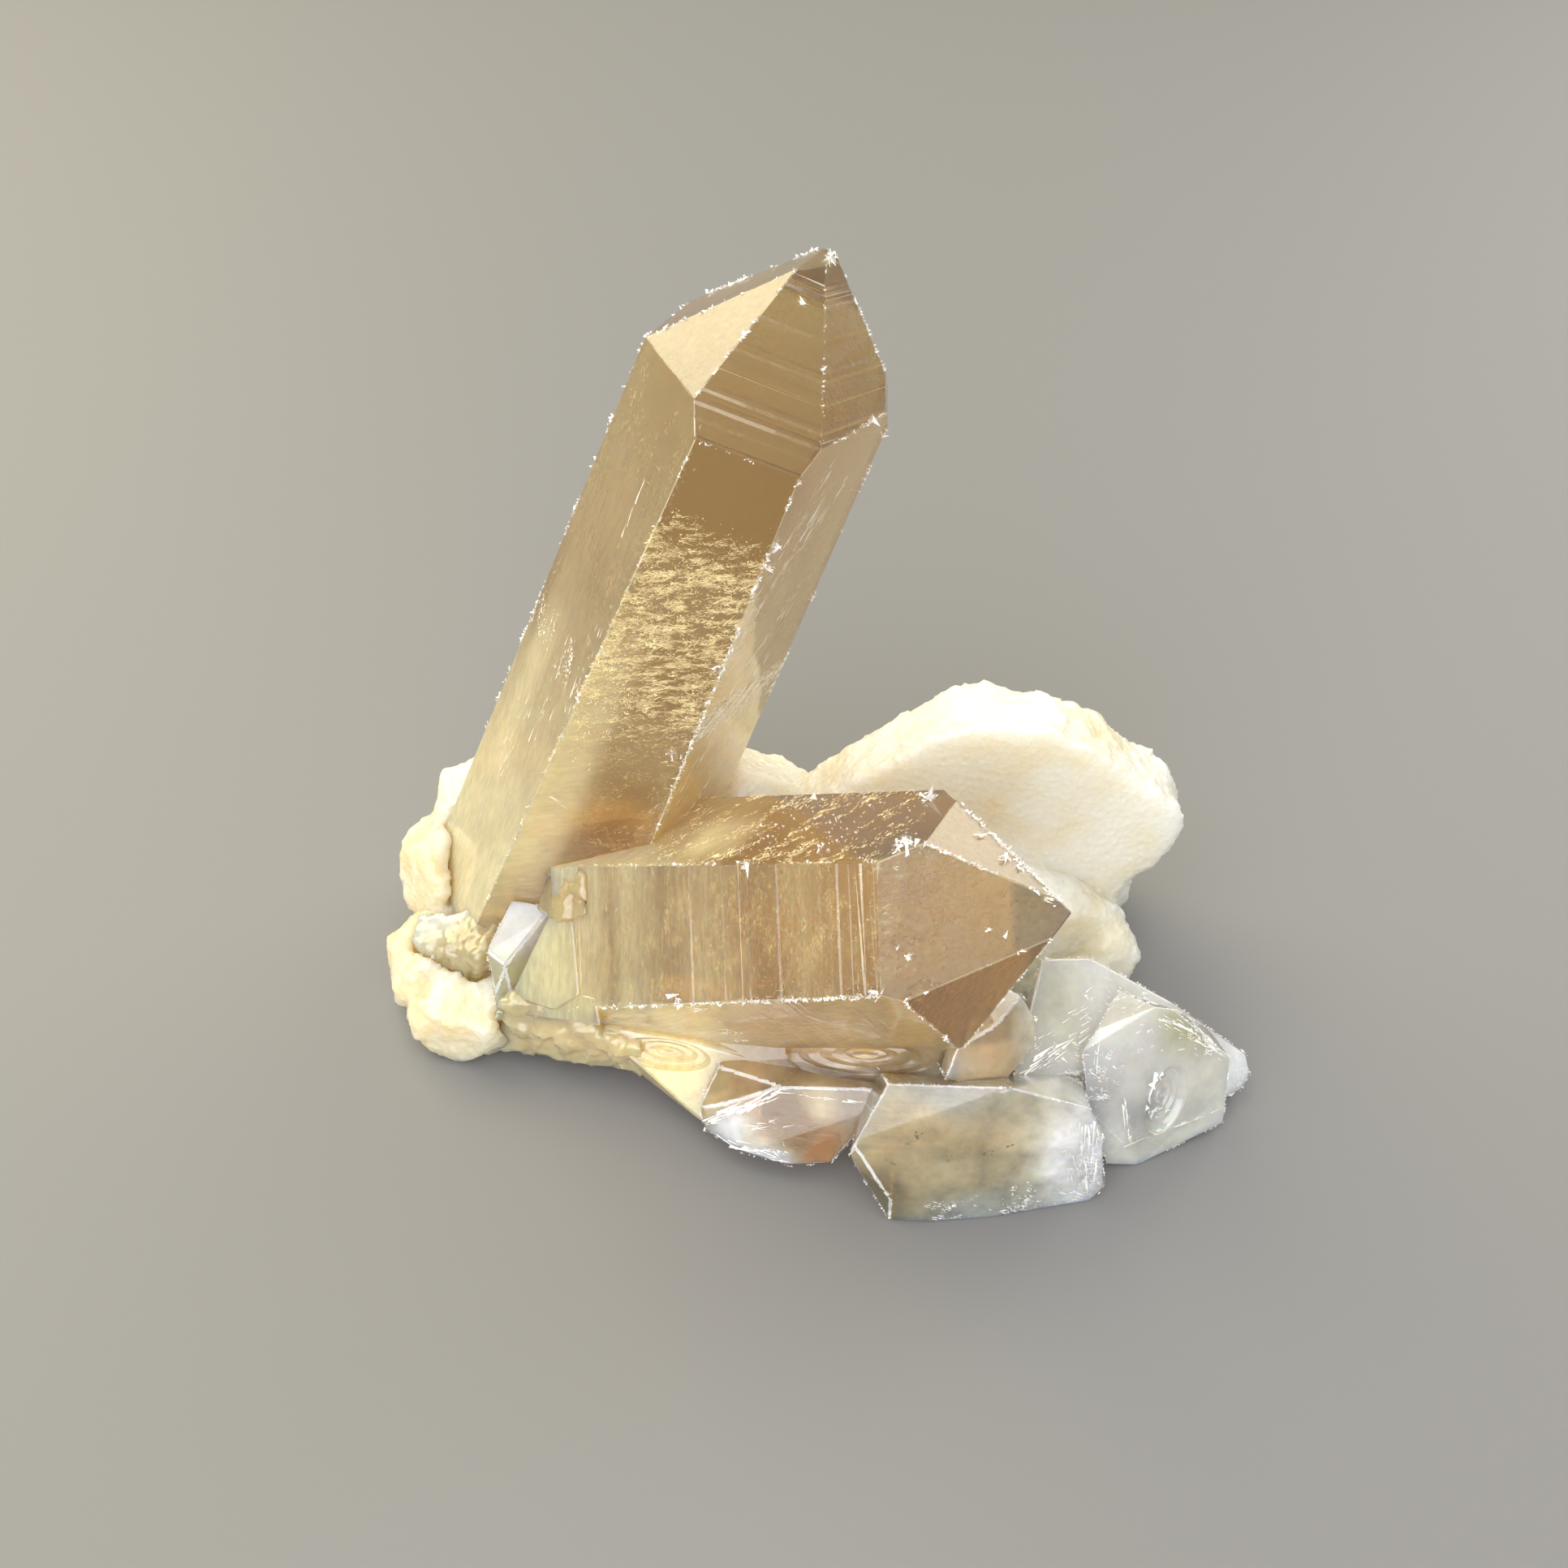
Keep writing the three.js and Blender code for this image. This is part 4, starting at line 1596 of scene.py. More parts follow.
# ---------------------------------------------------------------- flakes
class Seed(IntEnum):
    """Where each kind of flake starts its random numbers: its places, and its sizes and turns."""

    DUST_PLACES = 7
    SPARKLE_PLACES = 17
    PALE_PLACES = 23
    PALE = 24
    GOLDEN = 30
    GOLDEN_PLACES = 50
    SHALLOW = 70
    SHALLOW_PLACES = 90
    EDGES = 200
    CHIPS = 300
    DUST = 400
    SPARKLE = 401
    STREAKS = 500
    STREAK_PLACES = 600


SPLINTER = np.array(((1, 0, 0), (-0.6, 0.9, 0.1), (-0.5, -0.8, 0.35), (-0.3, -0.1, -1)), float)
SPLINTER_FACES = np.array(((0, 1, 2), (0, 3, 1), (0, 2, 3), (1, 3, 2)))


@dataclass(frozen=True)
class Splinters:
    """Many small four-faced splinters, as veils inside a crystal or crumbs on it."""

    size: Corner  # half-length, half-width and half-thickness of an average one
    seed: int
    spread: float = 0.5  # how far directions differ from the streaks' own, 0 to 1

    SPREAD: ClassVar[float] = 0.45  # how unlike in size they are
    TILT: ClassVar[float] = 0.08  # how far flat ones lean from their plane

    def axes(
        self, count: int, streak: Vector, random: np.random.Generator, flat: np.ndarray | None
    ) -> np.ndarray:
        """Gives each splinter its three directions.

        Args:
            count: How many.
            streak: The direction that they roughly follow.
            random: Where the differences come from.
            flat: The normals of the planes that they lie in, if they lie flat.

        Returns:
            An array of count by 3 by 3.
        """
        length = np.array(streak.normalized()) + self.spread * random.normal(size=(count, 3))
        upright = random.normal(size=(count, 3))
        if flat is not None:
            upright = upright * self.TILT + flat
            length -= np.sum(length * flat, axis=1)[:, None] * flat
        length /= np.linalg.norm(length, axis=1)[:, None]
        width = np.cross(length, upright)
        width /= np.linalg.norm(width, axis=1)[:, None]
        return np.stack((length, width, np.cross(length, width)), axis=1)

    def mesh(
        self, name: str, places: np.ndarray, streak: Vector, flat: np.ndarray | None = None
    ) -> bpy.types.Object:
        """Builds the splinters as one mesh.

        Args:
            name: The mesh's name.
            places: Their middles.
            streak: The direction that they roughly follow.
            flat: The normals of the planes that they lie in, if they lie flat.

        Returns:
            The object, in millimetres.
        """
        random = np.random.default_rng(self.seed)
        count = len(places)
        sizes = np.array(self.size) * random.lognormal(0.0, self.SPREAD, (count, 1))
        axes = self.axes(count, streak, random, flat)
        corners = np.einsum("vk,nk,nkx->nvx", SPLINTER, sizes, axes) + places[:, None, :]
        faces = SPLINTER_FACES[None] + 4 * np.arange(count)[:, None, None]
        mesh = bpy.data.meshes.new(name)
        mesh.from_pydata(corners.reshape(-1, 3).tolist(), [], faces.reshape(-1, 3).tolist())
        return show(name, mesh)


@dataclass(frozen=True)
class Streak:
    """A run of flat flakes from one point to another."""

    start: Corner
    stop: Corner
    count: int
    width: float  # how far they scatter from the run's middle
    size: Corner  # half-length, half-width and half-thickness of a flake
    turn: float = 0.1  # how far they turn from the run's direction

    def places(self, number: int) -> np.ndarray:
        """Gives the flakes' middles, for the run with this number.

        Args:
            number: The run's number in its table.

        Returns:
            The middles, a row each.
        """
        random = np.random.default_rng(Seed.STREAK_PLACES + number)
        start, stop = np.array(Vector(self.start) + SHIFT), np.array(Vector(self.stop) + SHIFT)
        points = start + (stop - start) * random.random((self.count, 1))
        return points + random.normal(0.0, self.width, points.shape)


def lay_marks(
    piece: bpy.types.Object, name: str, streaks: Sequence[Streak], finish: Glitter
) -> bpy.types.Object:
    """Lays flat flakes on a piece's faces, in runs.

    Args:
        piece: The finished piece.
        name: The flakes' name.
        streaks: The runs.
        finish: The flakes' finish.

    Returns:
        The flakes, as one piece.
    """
    parts = []
    for k, streak in enumerate(streaks):
        places, normals = [], []
        for at in streak.places(k):
            _, place, normal, _ = piece.closest_point_on_mesh(Vector(at) * MM)
            places.append(list(place / MM))
            normals.append(list(normal))
        way = Vector(streak.stop) - Vector(streak.start)
        flakes = Splinters(streak.size, Seed.STREAKS + k, streak.turn)
        parts.append(flakes.mesh(f"{name}_{k}", np.array(places), way, np.array(normals)))
    return dress(merge(name, parts), finish.material(), Node.CRYSTALS)


def tall_streak(
    start: Corner, stop: Corner, count: int, width: float, size: Corner, turn: float = 0.1
) -> Streak:
    """Makes a run on the tall point.

    Args:
        start: Its start: along the point's axis, to its front and to its side.
        stop: Its end, in the same way.
        count: How many flakes.
        width: How far they scatter.
        size: A flake's size.
        turn: How far they turn.

    Returns:
        The run, in the part's own directions.
    """
    ends = [tuple(TALL.point(*place) - SHIFT) for place in (start, stop)]
    return Streak(*ends, count, width, size, turn)


LONG, THIN, HAIR = (0.7, 0.07, 0.012), (0.5, 0.04, 0.012), (0.45, 0.03, 0.012)
SHORT, FLECK, SPECK = (0.35, 0.03, 0.012), (0.3, 0.14, 0.012), (0.14, 0.1, 0.012)
TALL_STREAKS = (
    tall_streak((6, 11.3, -5.2), (22, 5.5, -8.6), 60, 0.2, LONG),
    tall_streak((12, 10.8, -5.5), (24, 7, -7.8), 50, 0.4, HAIR),
    tall_streak((14, 8, -7.2), (22, 3, -10), 40, 0.5, HAIR),
    tall_streak((0, 9, -6.6), (12, 3, -10), 50, 0.5, HAIR),
    tall_streak((-10, 11, -5.4), (4, 4.5, -9.2), 60, 0.6, HAIR),
    tall_streak((-18, 8, -7.2), (-4, 3, -10), 50, 0.6, HAIR),
    tall_streak((-3, 10.8, 4.9), (6, 10.2, 5.3), 26, 0.4, HAIR),
    tall_streak((-8, 8.0, 6.4), (2, 7.6, 6.8), 24, 0.5, HAIR),
    tall_streak((12, 8.6, 6.0), (18, 8.4, 6.2), 12, 0.05, HAIR),
    tall_streak((-16, 6.0, 7.4), (-6, 5.6, 7.8), 24, 0.6, HAIR),
    Streak((-20.2, -0.1, 37.2), (-18.9, -0.1, 35.4), 7, 0.06, SHORT, 0.4),
    Streak((-22.2, -0.6, 26.2), (-21.0, -0.6, 24.8), 7, 0.06, SHORT, 0.4),
)
# runs of white flakes on the pale crystals that paint their bright silvery streaks: a painted sheen
SHEEN_STREAKS = (
    Streak((18.5, -13.8, 9.6), (28.5, -6.5, 11.6), 60, 0.35, LONG),
    Streak((19.5, -11.5, 10.6), (26, -7, 12), 30, 0.5, THIN),
    Streak((24, -13.6, 8.6), (24.4, -12.6, 12.6), 26, 0.2, THIN),
    Streak((28, -7.6, 11.4), (34, -8.5, 8.5), 26, 0.25, THIN),
    Streak((30.6, -13.2, 8.6), (31.4, -13.6, 6.4), 12, 0.35, (0.6, 0.25, 0.012), 0.3),
    Streak((30.4, -13.6, 4.6), (32.2, -13.2, 4.4), 16, 0.2, FLECK, 0.6),
    Streak((27.6, -14.8, 7.5), (28.2, -15, 3.2), 26, 0.12, THIN),
    Streak((28.4, -15, 3), (36.5, -11.4, 2.8), 36, 0.12, THIN),
    Streak((29.5, -10.6, 14.4), (36.6, -9.8, 8.6), 40, 0.25, THIN),
)
# runs of white flakes on the warm crystals that paint bright streaks and a crescent of reflection: a painted
# sheen
WARM_SHEEN_STREAKS = (
    Streak((23.4, -18.8, 10.4), (24.6, -19.4, 2.4), 70, 0.55, LONG, 0.08),
    Streak((22.0, -19.2, 9), (23.4, -19.8, 3), 30, 0.4, THIN),
    Streak((-8, -16.2, 3.8), (-2.2, -15.8, 7.9), 60, 0.22, LONG, 0.08),
    Streak((-8, -16.6, 2.9), (-1, -18.8, 2.3), 50, 0.2, LONG),
    Streak((-1.6, -15.8, 8), (5.6, -16.8, 8.2), 26, 0.12, THIN),
    Streak((-5, -16.8, 4.6), (0.5, -17.4, 5.6), 14, 0.3, THIN, 0.3),
)
DARK_MARKS = (
    Streak((9.2, -20.2, 9.1), (9.7, -20.2, 9.3), 6, 0.16, SPECK, 1.0),
    Streak((7.2, -21.2, 6.5), (7.7, -21.2, 6.7), 6, 0.16, SPECK, 1.0),
    Streak((8.4, -20.5, 8.2), (8.8, -20.5, 8.4), 4, 0.12, SPECK, 1.0),
    Streak((12.3, -20.9, 7.1), (12.9, -20.9, 7.3), 6, 0.2, SPECK, 1.0),
    Streak((15.2, -20.5, 7.4), (15.8, -20.5, 7.6), 7, 0.2, SPECK, 1.0),
    Streak((17.0, -20.2, 8.3), (17.3, -20.2, 8.5), 5, 0.16, SPECK, 1.0),
)


@dataclass(frozen=True)
class Veil:
    """A cloud of splinters below a crystal's face, thick where a stretched noise is high."""

    inside: Crystal
    face: int
    along: tuple[float, float]
    across: tuple[float, float]
    depth: tuple[float, float]
    tries: int
    cutoff: float  # the noise above which there are splinters
    wave: float  # how wide the clumps are, in millimetres
    streak: tuple[float, float]  # along the axis, and across it on the face
    margin: float = 0.15  # least distance from the crystal's faces, below 0 to lie on them
    press: float = 0.6  # how much the clumps are stretched along the streaks
    thickness: float = 1.2  # how fast the clumps thicken inwards
    taper: float = 2.0  # over how long it thins out at its ends

    THREADS: ClassVar[float] = 2.4  # waves of the fine threads in a millimetre
    THREAD_SHARE: ClassVar[float] = 0.3
    DENSEST: ClassVar[float] = 0.7  # the largest share of the tries that are kept

    def axes(self) -> tuple[Vector, Vector, Vector]:
        """Gives the directions along the axis, across the face and out of it."""
        return self.inside.face_axes(self.face)

    def direction(self) -> Vector:
        """Gives the streaks' direction."""
        axis, across, _ = self.axes()
        return (axis * self.streak[0] + across * self.streak[1]).normalized()

    def places(self, seed: int) -> np.ndarray:
        """Gives the middles of the splinters.

        Args:
            seed: Where the places start from.

        Returns:
            An array of points.
        """
        random = np.random.default_rng(seed)
        spans = np.array((self.along, self.across, self.depth))
        local = random.uniform(spans[:, 0], spans[:, 1], (self.tries, 3))
        near, far = self.depth
        face = self.inside.prism[self.face]
        local[:, 2] = face - near - (far - near) * random.random(self.tries) ** 2
        axes = np.array([list(direction) for direction in self.axes()])
        points = local @ axes + np.array(self.inside.middle)
        points = points[self.inside.holds(points, self.margin)]
        streak = np.array(self.direction())
        pressed = points - self.press * (points @ streak)[:, None] * streak
        blobs = np.array([noise.fractal(Vector(p) / self.wave, 0.8, 2.2, 4) for p in pressed])
        threads = np.abs([noise.noise(Vector(p) * self.THREADS) for p in pressed])
        density = (blobs - self.THREAD_SHARE * threads - self.cutoff) * self.thickness
        density = np.clip(density, 0.0, self.DENSEST)
        along = (points - np.array(self.inside.middle)) @ axes[0]
        left = np.minimum(self.along[1] - along, 2.0 * (along - self.along[0])) / self.taper
        return points[density * np.clip(left + blobs, 0.0, 1.0) > random.random(len(points))]


ON_FACE, ABOVE = (-0.02, 0.03), (-0.05, 0.0)  # how far below a face flat veils lie, in millimetres
Skin = tuple[Veil, tuple[float, float]]


def skin(
    inside: Crystal,
    face: int,
    along: tuple[float, float],
    tries: int,
    cutoff: float,
    wave: float,
    streak: tuple[float, float],
    size: tuple[float, float],
    press: float = 0.6,
    thickness: float = 1.2,
    taper: float = 2.0,
    across: tuple[float, float] = (-7, 7),
    depth: tuple[float, float] = ON_FACE,
) -> Skin:
    """Describes a veil that lies flat on a face.

    Args:
        inside, face, along, tries, cutoff, wave, streak: As a veil's.
        size: Its splinters' half-length and half-width.
        press, thickness, taper, across, depth: As a veil's.

    Returns:
        The veil and its splinters' size.
    """
    outside = -0.1
    veil = Veil(
        inside, face, along, across, depth, tries, cutoff, wave, streak, outside, press, thickness, taper
    )
    return veil, size


class Inclusions:
    """The veils in the two points."""

    GOLDEN = (
        Veil(TALL, 0, (-27, 16.5), (-7, 7), (0.15, 4), 44000, -0.04, 2.6, (0.5, -0.8)),
        Veil(TALL, 1, (-27, 25), (-7, 7), (0.15, 2.5), 40000, 0.0, 2.6, (1.0, 0.12)),
        Veil(TALL, 5, (-27, 22), (-7, 7), (0.15, 2), 36000, 0.0, 2.2, (0.8, -0.6)),
        Veil(LYING, 0, (-14, 18), (-7, 7), (0.15, 3), 44000, 0.02, 2.6, (0.15, 1.0)),
        Veil(LYING, 5, (-14, 18), (-7, 7), (0.15, 2), 20000, 0.0, 2.2, (1.0, 0.2)),
        Veil(LYING, 0, (16, 27), (-8, 8), (0.5, 6), 20000, 0.0, 1.8, (0.6, 0.4)),
    )
    SHALLOW_TALL = (
        skin(TALL, 0, (0, 18.4), 76000, -0.2, 0.55, (0.45, -0.9), (0.17, 0.01), 0.7, 1.3),
        skin(TALL, 0, (-27, 11), 60000, -0.1, 0.8, (0.45, -0.9), (0.18, 0.01), 0.75, 1.2, 6.0),
        skin(TALL, 0, (-27, 9), 30000, -0.1, 1.0, (0.9, -0.2), (0.08, 0.03), across=(0.4, 6)),
        skin(TALL, 0, (-4, 18.8), 26000, -0.12, 0.5, (0.45, -0.9), (0.05, 0.025), 0.4, 1.6),
    )
    SHALLOW_LYING = (
        skin(LYING, 0, (-14, 17), 90000, -0.05, 1.1, (0.1, 1.0), (0.06, 0.03)),
        skin(LYING, 0, (16, 27), 14000, 0.0, 1.2, (0.6, 0.4), (0.06, 0.03), across=(-8, 8)),
        skin(LYING, 1, (-14, 20), 30000, -0.1, 1.4, (0.6, 0.8), (0.14, 0.03)),
    )
    FEATHERS = (
        skin(TALL, 1, (-27, 25), 60000, -0.02, 1.0, (1.0, 0.12), (0.1, 0.03), 0.85, 0.8, depth=ABOVE),
        skin(TALL, 5, (-27, 24), 70000, -0.35, 0.7, (0.8, -0.62), (0.16, 0.03), 0.88, 1.0, depth=ABOVE),
        skin(LYING, 5, (-14, 18), 36000, 0.04, 1.0, (1.0, 0.2), (0.14, 0.03), 0.88, depth=ABOVE),
    )

    def shallow(self, name: str, veils: Sequence[Skin], finish: Glitter) -> bpy.types.Object:
        """Builds thin veils that lie on the faces as one piece.

        Args:
            name: The piece's name.
            veils: The veils, each with its splinters' half-length and half-width.
            finish: Their finish.

        Returns:
            The piece.
        """
        parts = []
        for k, (veil, size) in enumerate(veils):
            places = veil.places(Seed.SHALLOW_PLACES + k)
            flat = np.tile(np.array(veil.axes()[2]), (len(places), 1))
            splinters = Splinters((*size, 0.012), Seed.SHALLOW + k, 0.5)
            parts.append(splinters.mesh(f"{name}_{k}", places, veil.direction(), flat))
        return dress(merge(name, parts), finish.material(), Node.CRYSTALS)

    def build(self, finish: Glitter) -> bpy.types.Object:
        """Builds the golden veils as one piece.

        Args:
            finish: Their finish.

        Returns:
            The piece.
        """
        parts = []
        for k, veil in enumerate(self.GOLDEN):
            splinters = Splinters((0.15, 0.045, 0.03), Seed.GOLDEN + k, 0.5)
            places = veil.places(Seed.GOLDEN_PLACES + k)
            parts.append(splinters.mesh(f"veil_{k}", places, veil.direction()))
        return dress(merge("golden_veils", parts), finish.material(), Node.CRYSTALS)


@dataclass(frozen=True)
class WornEdge:
    """Crumbs along the edge between two of a crystal's faces."""

    inside: Crystal
    faces: tuple[int, int]
    span: tuple[float, float]  # which share of the edge, from the root's end
    count: int
    spread: float
    cutoff: float  # higher leaves more of the edge clean

    CLUMPS: ClassVar[float] = 0.9  # clumps in a millimetre

    def places(self, seed: int) -> np.ndarray:
        """Gives the crumbs' middles.

        Args:
            seed: Where the random numbers start.

        Returns:
            The middles, a row each.
        """
        random = np.random.default_rng(seed)
        start, stop = self.inside.edge(*self.faces)
        shares = random.uniform(*self.span, self.count)[:, None]
        points = start + (stop - start) * shares
        clumps = np.array([noise.noise(Vector(p) * self.CLUMPS) for p in points])
        points = points[clumps + random.uniform(-0.2, 0.2, len(points)) > self.cutoff]
        return points + random.normal(0.0, self.spread, points.shape)


@dataclass(frozen=True)
class Chip:
    """A splintered bruise: larger splinters that fan out from a point."""

    at: Corner
    reach: float
    count: int

    def places(self, seed: int) -> np.ndarray:
        """Gives the splinters' middles."""
        random = np.random.default_rng(seed)
        return np.array(Vector(self.at) + SHIFT) + random.normal(0.0, self.reach / 2, (self.count, 3))


class Crumbs:
    """The bruised edges, chips and dust on the crystals."""

    WHOLE: ClassVar[tuple[float, float]] = (0.0, 1.0)
    EDGES = (
        WornEdge(TALL, (0, 5), (0.25, 1.0), 900, 0.09, -0.05),
        WornEdge(TALL, (0, 1), (0.1, 1.0), 260, 0.05, 0.1),
        WornEdge(TALL, (1, 2), (0.3, 1.0), 360, 0.06, 0.05),
        WornEdge(TALL, (4, 5), (0.5, 1.0), 300, 0.06, 0.1),
        WornEdge(TALL, (0, 6), WHOLE, 40, 0.05, 0.1),
        WornEdge(TALL, (6, 7), WHOLE, 200, 0.05, 0.1),
        WornEdge(TALL, (6, 11), WHOLE, 70, 0.05, 0.0),
        WornEdge(TALL, (10, 11), WHOLE, 160, 0.06, 0.0),
        WornEdge(TALL, (7, 12), WHOLE, 120, 0.06, 0.1),
        WornEdge(TALL, (5, 11), WHOLE, 120, 0.07, 0.0),
        WornEdge(TALL, (8, 12), WHOLE, 260, 0.08, -0.1),
        WornEdge(TALL, (2, 12), WHOLE, 120, 0.07, 0.0),
        WornEdge(LYING, (0, 5), WHOLE, 1100, 0.1, -0.1),
        WornEdge(LYING, (0, 1), (0.2, 1.0), 360, 0.07, 0.1),
        WornEdge(LYING, (6, 7), WHOLE, 260, 0.07, 0.0),
        WornEdge(LYING, (7, 8), WHOLE, 500, 0.1, -0.2),
        WornEdge(LYING, (6, 11), WHOLE, 120, 0.06, 0.05),
        WornEdge(LYING, (10, 11), WHOLE, 260, 0.07, 0.0),
        WornEdge(LYING, (5, 11), WHOLE, 200, 0.08, 0.0),
    )
    CHIPS = (
        Chip((-8.5, 0.0, 40.2), 0.5, 26), Chip((-12.2, -0.4, 31.7), 0.7, 34),
        Chip((-4.6, 1.1, 50.9), 0.35, 20), Chip((-5.1, 1.3, 49.0), 0.3, 16),
        Chip((-1.8, 12.0, 68.4), 0.4, 40), Chip((-3.5, 9.1, 66.3), 0.35, 16),
        Chip((8.6, -3.9, 31.5), 0.6, 24), Chip((6.8, -10.5, 32.6), 0.9, 60),
        Chip((5.9, -10.6, 32.4), 0.6, 30), Chip((6.2, -16.4, 27.3), 0.12, 6),
        Chip((7.1, -16.7, 26.8), 0.3, 14), Chip((13.1, -14.7, 28.1), 0.12, 5),
        Chip((14.5, -14.7, 27.8), 0.12, 5), Chip((5.7, -12.3, 31.7), 0.12, 6),
        Chip((12.3, -8.3, 31.7), 0.3, 14), Chip((14.1, -10.0, 31.1), 0.4, 22),
        Chip((15.3, -10.5, 30.6), 0.4, 22), Chip((17.6, -12.4, 29.8), 0.5, 26),
        Chip((4.5, -18.5, 24.6), 0.5, 30), Chip((-5.7, -8.3, 27.2), 0.4, 16),
        Chip((-10.7, -13.3, 16.3), 0.4, 16),
    )
    DUST = Veil(LYING, 1, (4, 21), (-7, 7), (-0.03, 0.02), 900, -0.5, 2.0, (0.6, 0.8), -0.1)
    SPARKLE = 12.0  # crumbs in a millimetre of the pale crystals' edges

    def along(self, edges: Sequence[Edge]) -> np.ndarray:
        """Gives the middles of crumbs along some edges, in clumps.

        Args:
            edges: The two ends of each edge.

        Returns:
            The middles, a row each.
        """
        random = np.random.default_rng(Seed.SPARKLE_PLACES)
        found = []
        for start, stop in edges:
            shares = random.random(int((stop - start).length * self.SPARKLE))
            points = [start.lerp(stop, share) for share in shares]
            found += [list(point) for point in points if noise.noise(point * 1.1) > random.uniform(-0.2, 0.3)]
        points = np.array(found) + random.normal(0.0, 0.03, (len(found), 3))
        return points[points[:, 2] > LOWEST_FLAKE]

    def build(self, finish: Glitter, edges: Sequence[Edge]) -> bpy.types.Object:
        """Builds the crumbs as one piece.

        Args:
            finish: Their finish.
            edges: The pale crystals' edges.

        Returns:
            The piece.
        """
        kinds = [((0.13, 0.07, 0.045), Seed.EDGES + k, edge.places(k)) for k, edge in enumerate(self.EDGES)]
        kinds += [((0.34, 0.1, 0.04), Seed.CHIPS + k, chip.places(k)) for k, chip in enumerate(self.CHIPS)]
        kinds.append(((0.1, 0.07, 0.04), Seed.DUST, self.DUST.places(Seed.DUST_PLACES)))
        kinds.append(((0.08, 0.05, 0.03), Seed.SPARKLE, self.along(edges)))
        way = Vector((0.3, -0.6, 0.7))
        parts = [Splinters(size, seed, 1.0).mesh("crumbs", places, way) for size, seed, places in kinds]
        return dress(merge("white_crumbs", parts), finish.material(), Node.CRYSTALS)


# ---------------------------------------------------------------- studio
@dataclass(frozen=True)
class Lamp:
    """A soft square lamp that looks at the cluster."""

    name: str
    azimuth: float  # degrees to the right of the camera's side
    elevation: float
    distance: float
    width: float
    power: float
    colour: Colour = (1.0, 1.0, 1.0)

    def light(self, centre: Vector) -> None:
        """Hangs the lamp.

        Args:
            centre: The point that it looks at, in metres.
        """
        data = bpy.data.lights.new(self.name, "AREA")
        data.shape = "SQUARE"
        data.size = self.width
        data.energy = self.power
        data.color = self.colour
        lamp = show(self.name, data)
        turn, lift = math.radians(self.azimuth), math.radians(self.elevation)
        away = Vector((math.sin(turn) * math.cos(lift), -math.cos(turn) * math.cos(lift), math.sin(lift)))
        lamp.location = centre + away * self.distance
        lamp.rotation_euler = (-away).to_track_quat("-Z", "Y").to_euler()


@dataclass
class Studio:
    """The pale floor, the soft lamps, the surroundings and the camera."""

    floor_size: float = 6.0
    floor_grey: float = 0.2
    surround: float = 0.42  # how bright the surroundings are
    lens: float = 35.905  # millimetres, for a sensor 36 mm wide
    eye: Corner = (-3.856, -97.054, 115.0)  # the camera's place, in millimetres
    right: Corner = (0.99849, 0.03678, 0.04085)  # the camera's own directions
    up: Corner = (-0.05497, 0.66812, 0.74202)
    back: Corner = (0.0, -0.74314, 0.66913)
    middle: Corner = (0.0, 0.0, 0.03)  # what the lamps look at, in metres

    LAMPS: ClassVar[tuple[Lamp, ...]] = (
        Lamp("back_left_window", -128, 43, 0.62, 0.56, 4.0, (1.0, 0.89, 0.58)),
        Lamp("overhead", -20, 70, 0.7, 0.6, 2.4),
        Lamp("front_fill", -20, 25, 0.9, 1.1, 10.0),
        Lamp("back_right", 136, 31, 0.7, 0.5, 2.2, (1.0, 0.95, 0.84)),
    )

    def lay_floor(self) -> None:
        """Lays the floor."""
        body = Shape()
        bmesh.ops.create_grid(body.bm, x_segments=1, y_segments=1, size=self.floor_size / 2)
        floor = body.finish("floor")
        material, shader = new_material("pale_floor")
        grey = self.floor_grey
        shader.inputs["Base Color"].default_value = (grey, grey, grey * 1.01, 1.0)
        shader.inputs["Roughness"].default_value = 0.6
        floor.data.materials.append(material)

    def surroundings(self) -> None:
        """Lights the surroundings evenly."""
        world = bpy.data.worlds.new("studio")
        world.use_nodes = True
        light = world.node_tree.nodes["Background"].inputs
        light["Color"].default_value = (1.0, 1.0, 1.0, 1.0)
        light["Strength"].default_value = self.surround
        bpy.context.scene.world = world

    def camera(self) -> None:
        """Places the camera in front of the cluster, above it and looking down."""
        data = bpy.data.cameras.new("camera")
        data.sensor_width = 36.0
        data.lens = self.lens
        data.clip_start, data.clip_end = 0.005, 20.0
        camera = show("camera", data)
        turned = Matrix((self.right, self.up, self.back)).transposed().to_4x4()
        camera.matrix_world = Matrix.Translation(Vector(self.eye) * MM) @ turned
        bpy.context.scene.camera = camera

    def build(self) -> None:
        """Sets up the whole studio."""
        self.lay_floor()
        self.surroundings()
        self.camera()
        for lamp in self.LAMPS:
            lamp.light(Vector(self.middle))
        scene = bpy.context.scene
        scene.view_settings.view_transform = "Standard"
        scene.cycles.use_denoising = True
        scene.cycles.max_bounces = 20
        scene.cycles.transmission_bounces = 18
        scene.cycles.transparent_max_bounces = 12
        scene.cycles.sample_clamp_indirect = 6.0


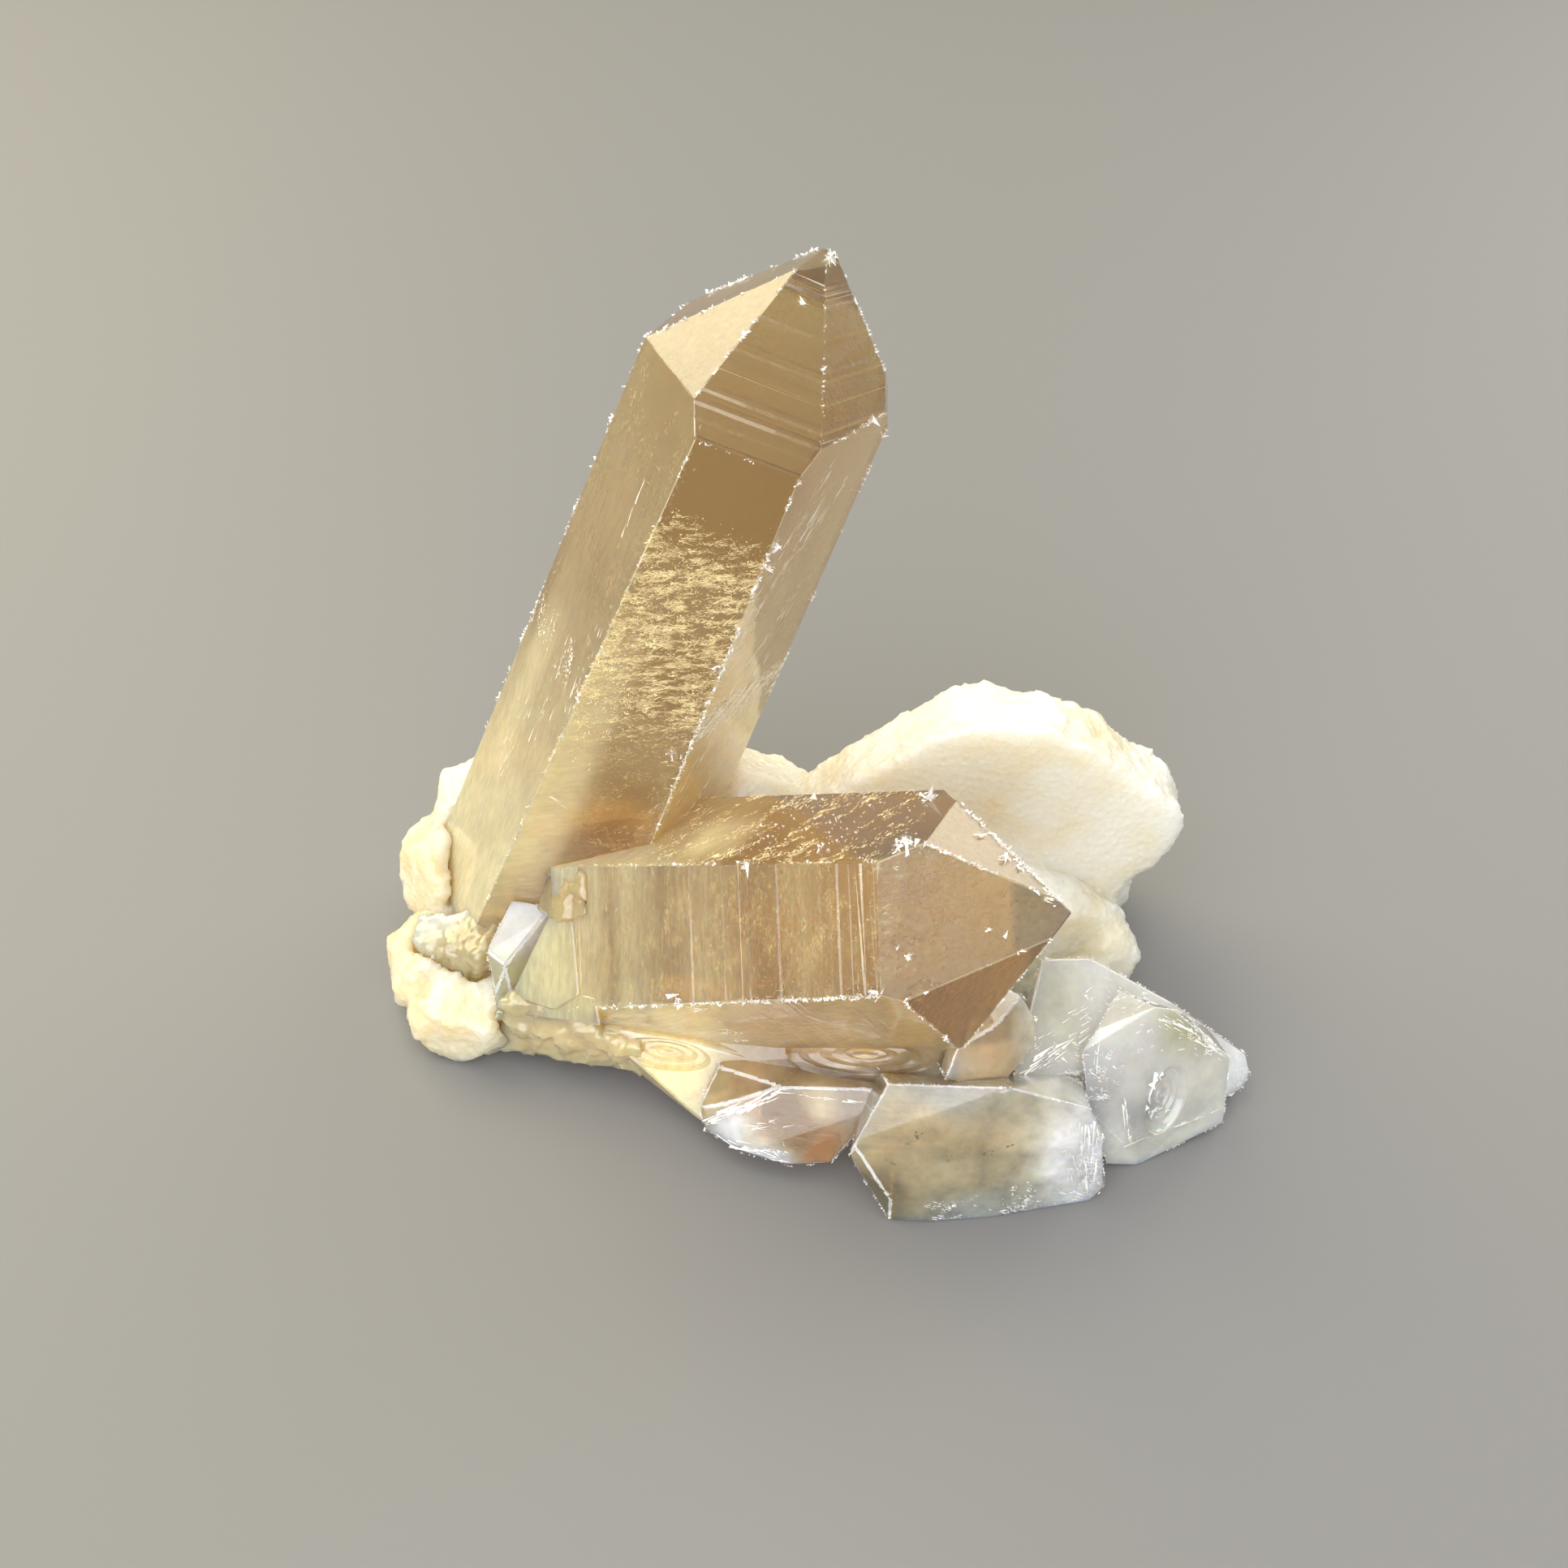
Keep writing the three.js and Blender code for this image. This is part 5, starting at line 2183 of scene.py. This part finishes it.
HONEY = ClearQuartz("honey_quartz", (0.74, 0.53, 0.24), 20.0)
PALE = ClearQuartz("pale_quartz", (0.95, 0.91, 0.80), 20.0, wisp=220.0, fine=0.3, glow=2.5)
WARM = ClearQuartz("warm_pale_quartz", (0.95, 0.73, 0.43), 12.0, wisp=330.0, soft=1.6, fine=0.3, glow=2.5)
GOLD = ClearQuartz("honey_mass_quartz", (0.94, 0.80, 0.52), 9.0, wisp=260.0, soft=0.7, fine=0.3, glow=2.5)
GOLD_FLAKES = Glitter("golden_flakes", (1.0, 0.93, 0.76))
SHALLOW_FLAKES = Glitter("shallow_flakes", (0.94, 0.77, 0.45), 0.3)
# white flakes that paint sheen and sparkle on the pale crystals
SHEEN_FLAKES = Glitter("sheen_flakes", (0.93, 0.95, 0.93), 0.25)
DARK_SPECKS = Glitter("dark_specks", (0.12, 0.12, 0.07), 0.6)
WHITE_CRUMBS = Glitter("white_crumbs", (1.0, 0.98, 0.93), 0.2)


def main() -> None:
    """Builds every piece and reports it."""
    logging.basicConfig(level=logging.INFO, format="%(message)s")
    pale = PaleCrystals("pale_crystals", ("right_block", "right_long", "left_small"))
    warm = PaleCrystals("warm_crystals", ("broad_front", "clear_left", "wedge"))
    veils = Inclusions()
    points, pale_piece, warm_piece = Points().build(HONEY), pale.build(PALE), warm.build(WARM)
    made = [
        points,
        pale_piece,
        pale.glitter(pale_piece, SHEEN_FLAKES),
        warm_piece,
        warm.glitter(warm_piece, SHEEN_FLAKES),
        lay_marks(points, "tall_streaks", TALL_STREAKS, GOLD_FLAKES),
        lay_marks(warm_piece, "dark_marks", DARK_MARKS, DARK_SPECKS),
        lay_marks(warm_piece, "warm_sheen_streaks", WARM_SHEEN_STREAKS, SHEEN_FLAKES),
        lay_marks(pale_piece, "sheen_streaks", SHEEN_STREAKS, SHEEN_FLAKES),
        MilkyMatrix().build(MilkyQuartz()),
        HoneyMass().build(GOLD),
        veils.build(GOLD_FLAKES),
        veils.shallow("tall_veils", veils.SHALLOW_TALL, SHALLOW_FLAKES),
        veils.shallow("lying_veils", veils.SHALLOW_LYING, SHALLOW_FLAKES),
        veils.shallow("feather_veils", veils.FEATHERS, GOLD_FLAKES),
        Crumbs().build(WHITE_CRUMBS, pale.edges + warm.edges),
    ]
    for piece in made:
        log.info("%s: %d faces", piece.name, len(piece.data.polygons))
    Studio().build()


if __name__ == "__main__":
    main()
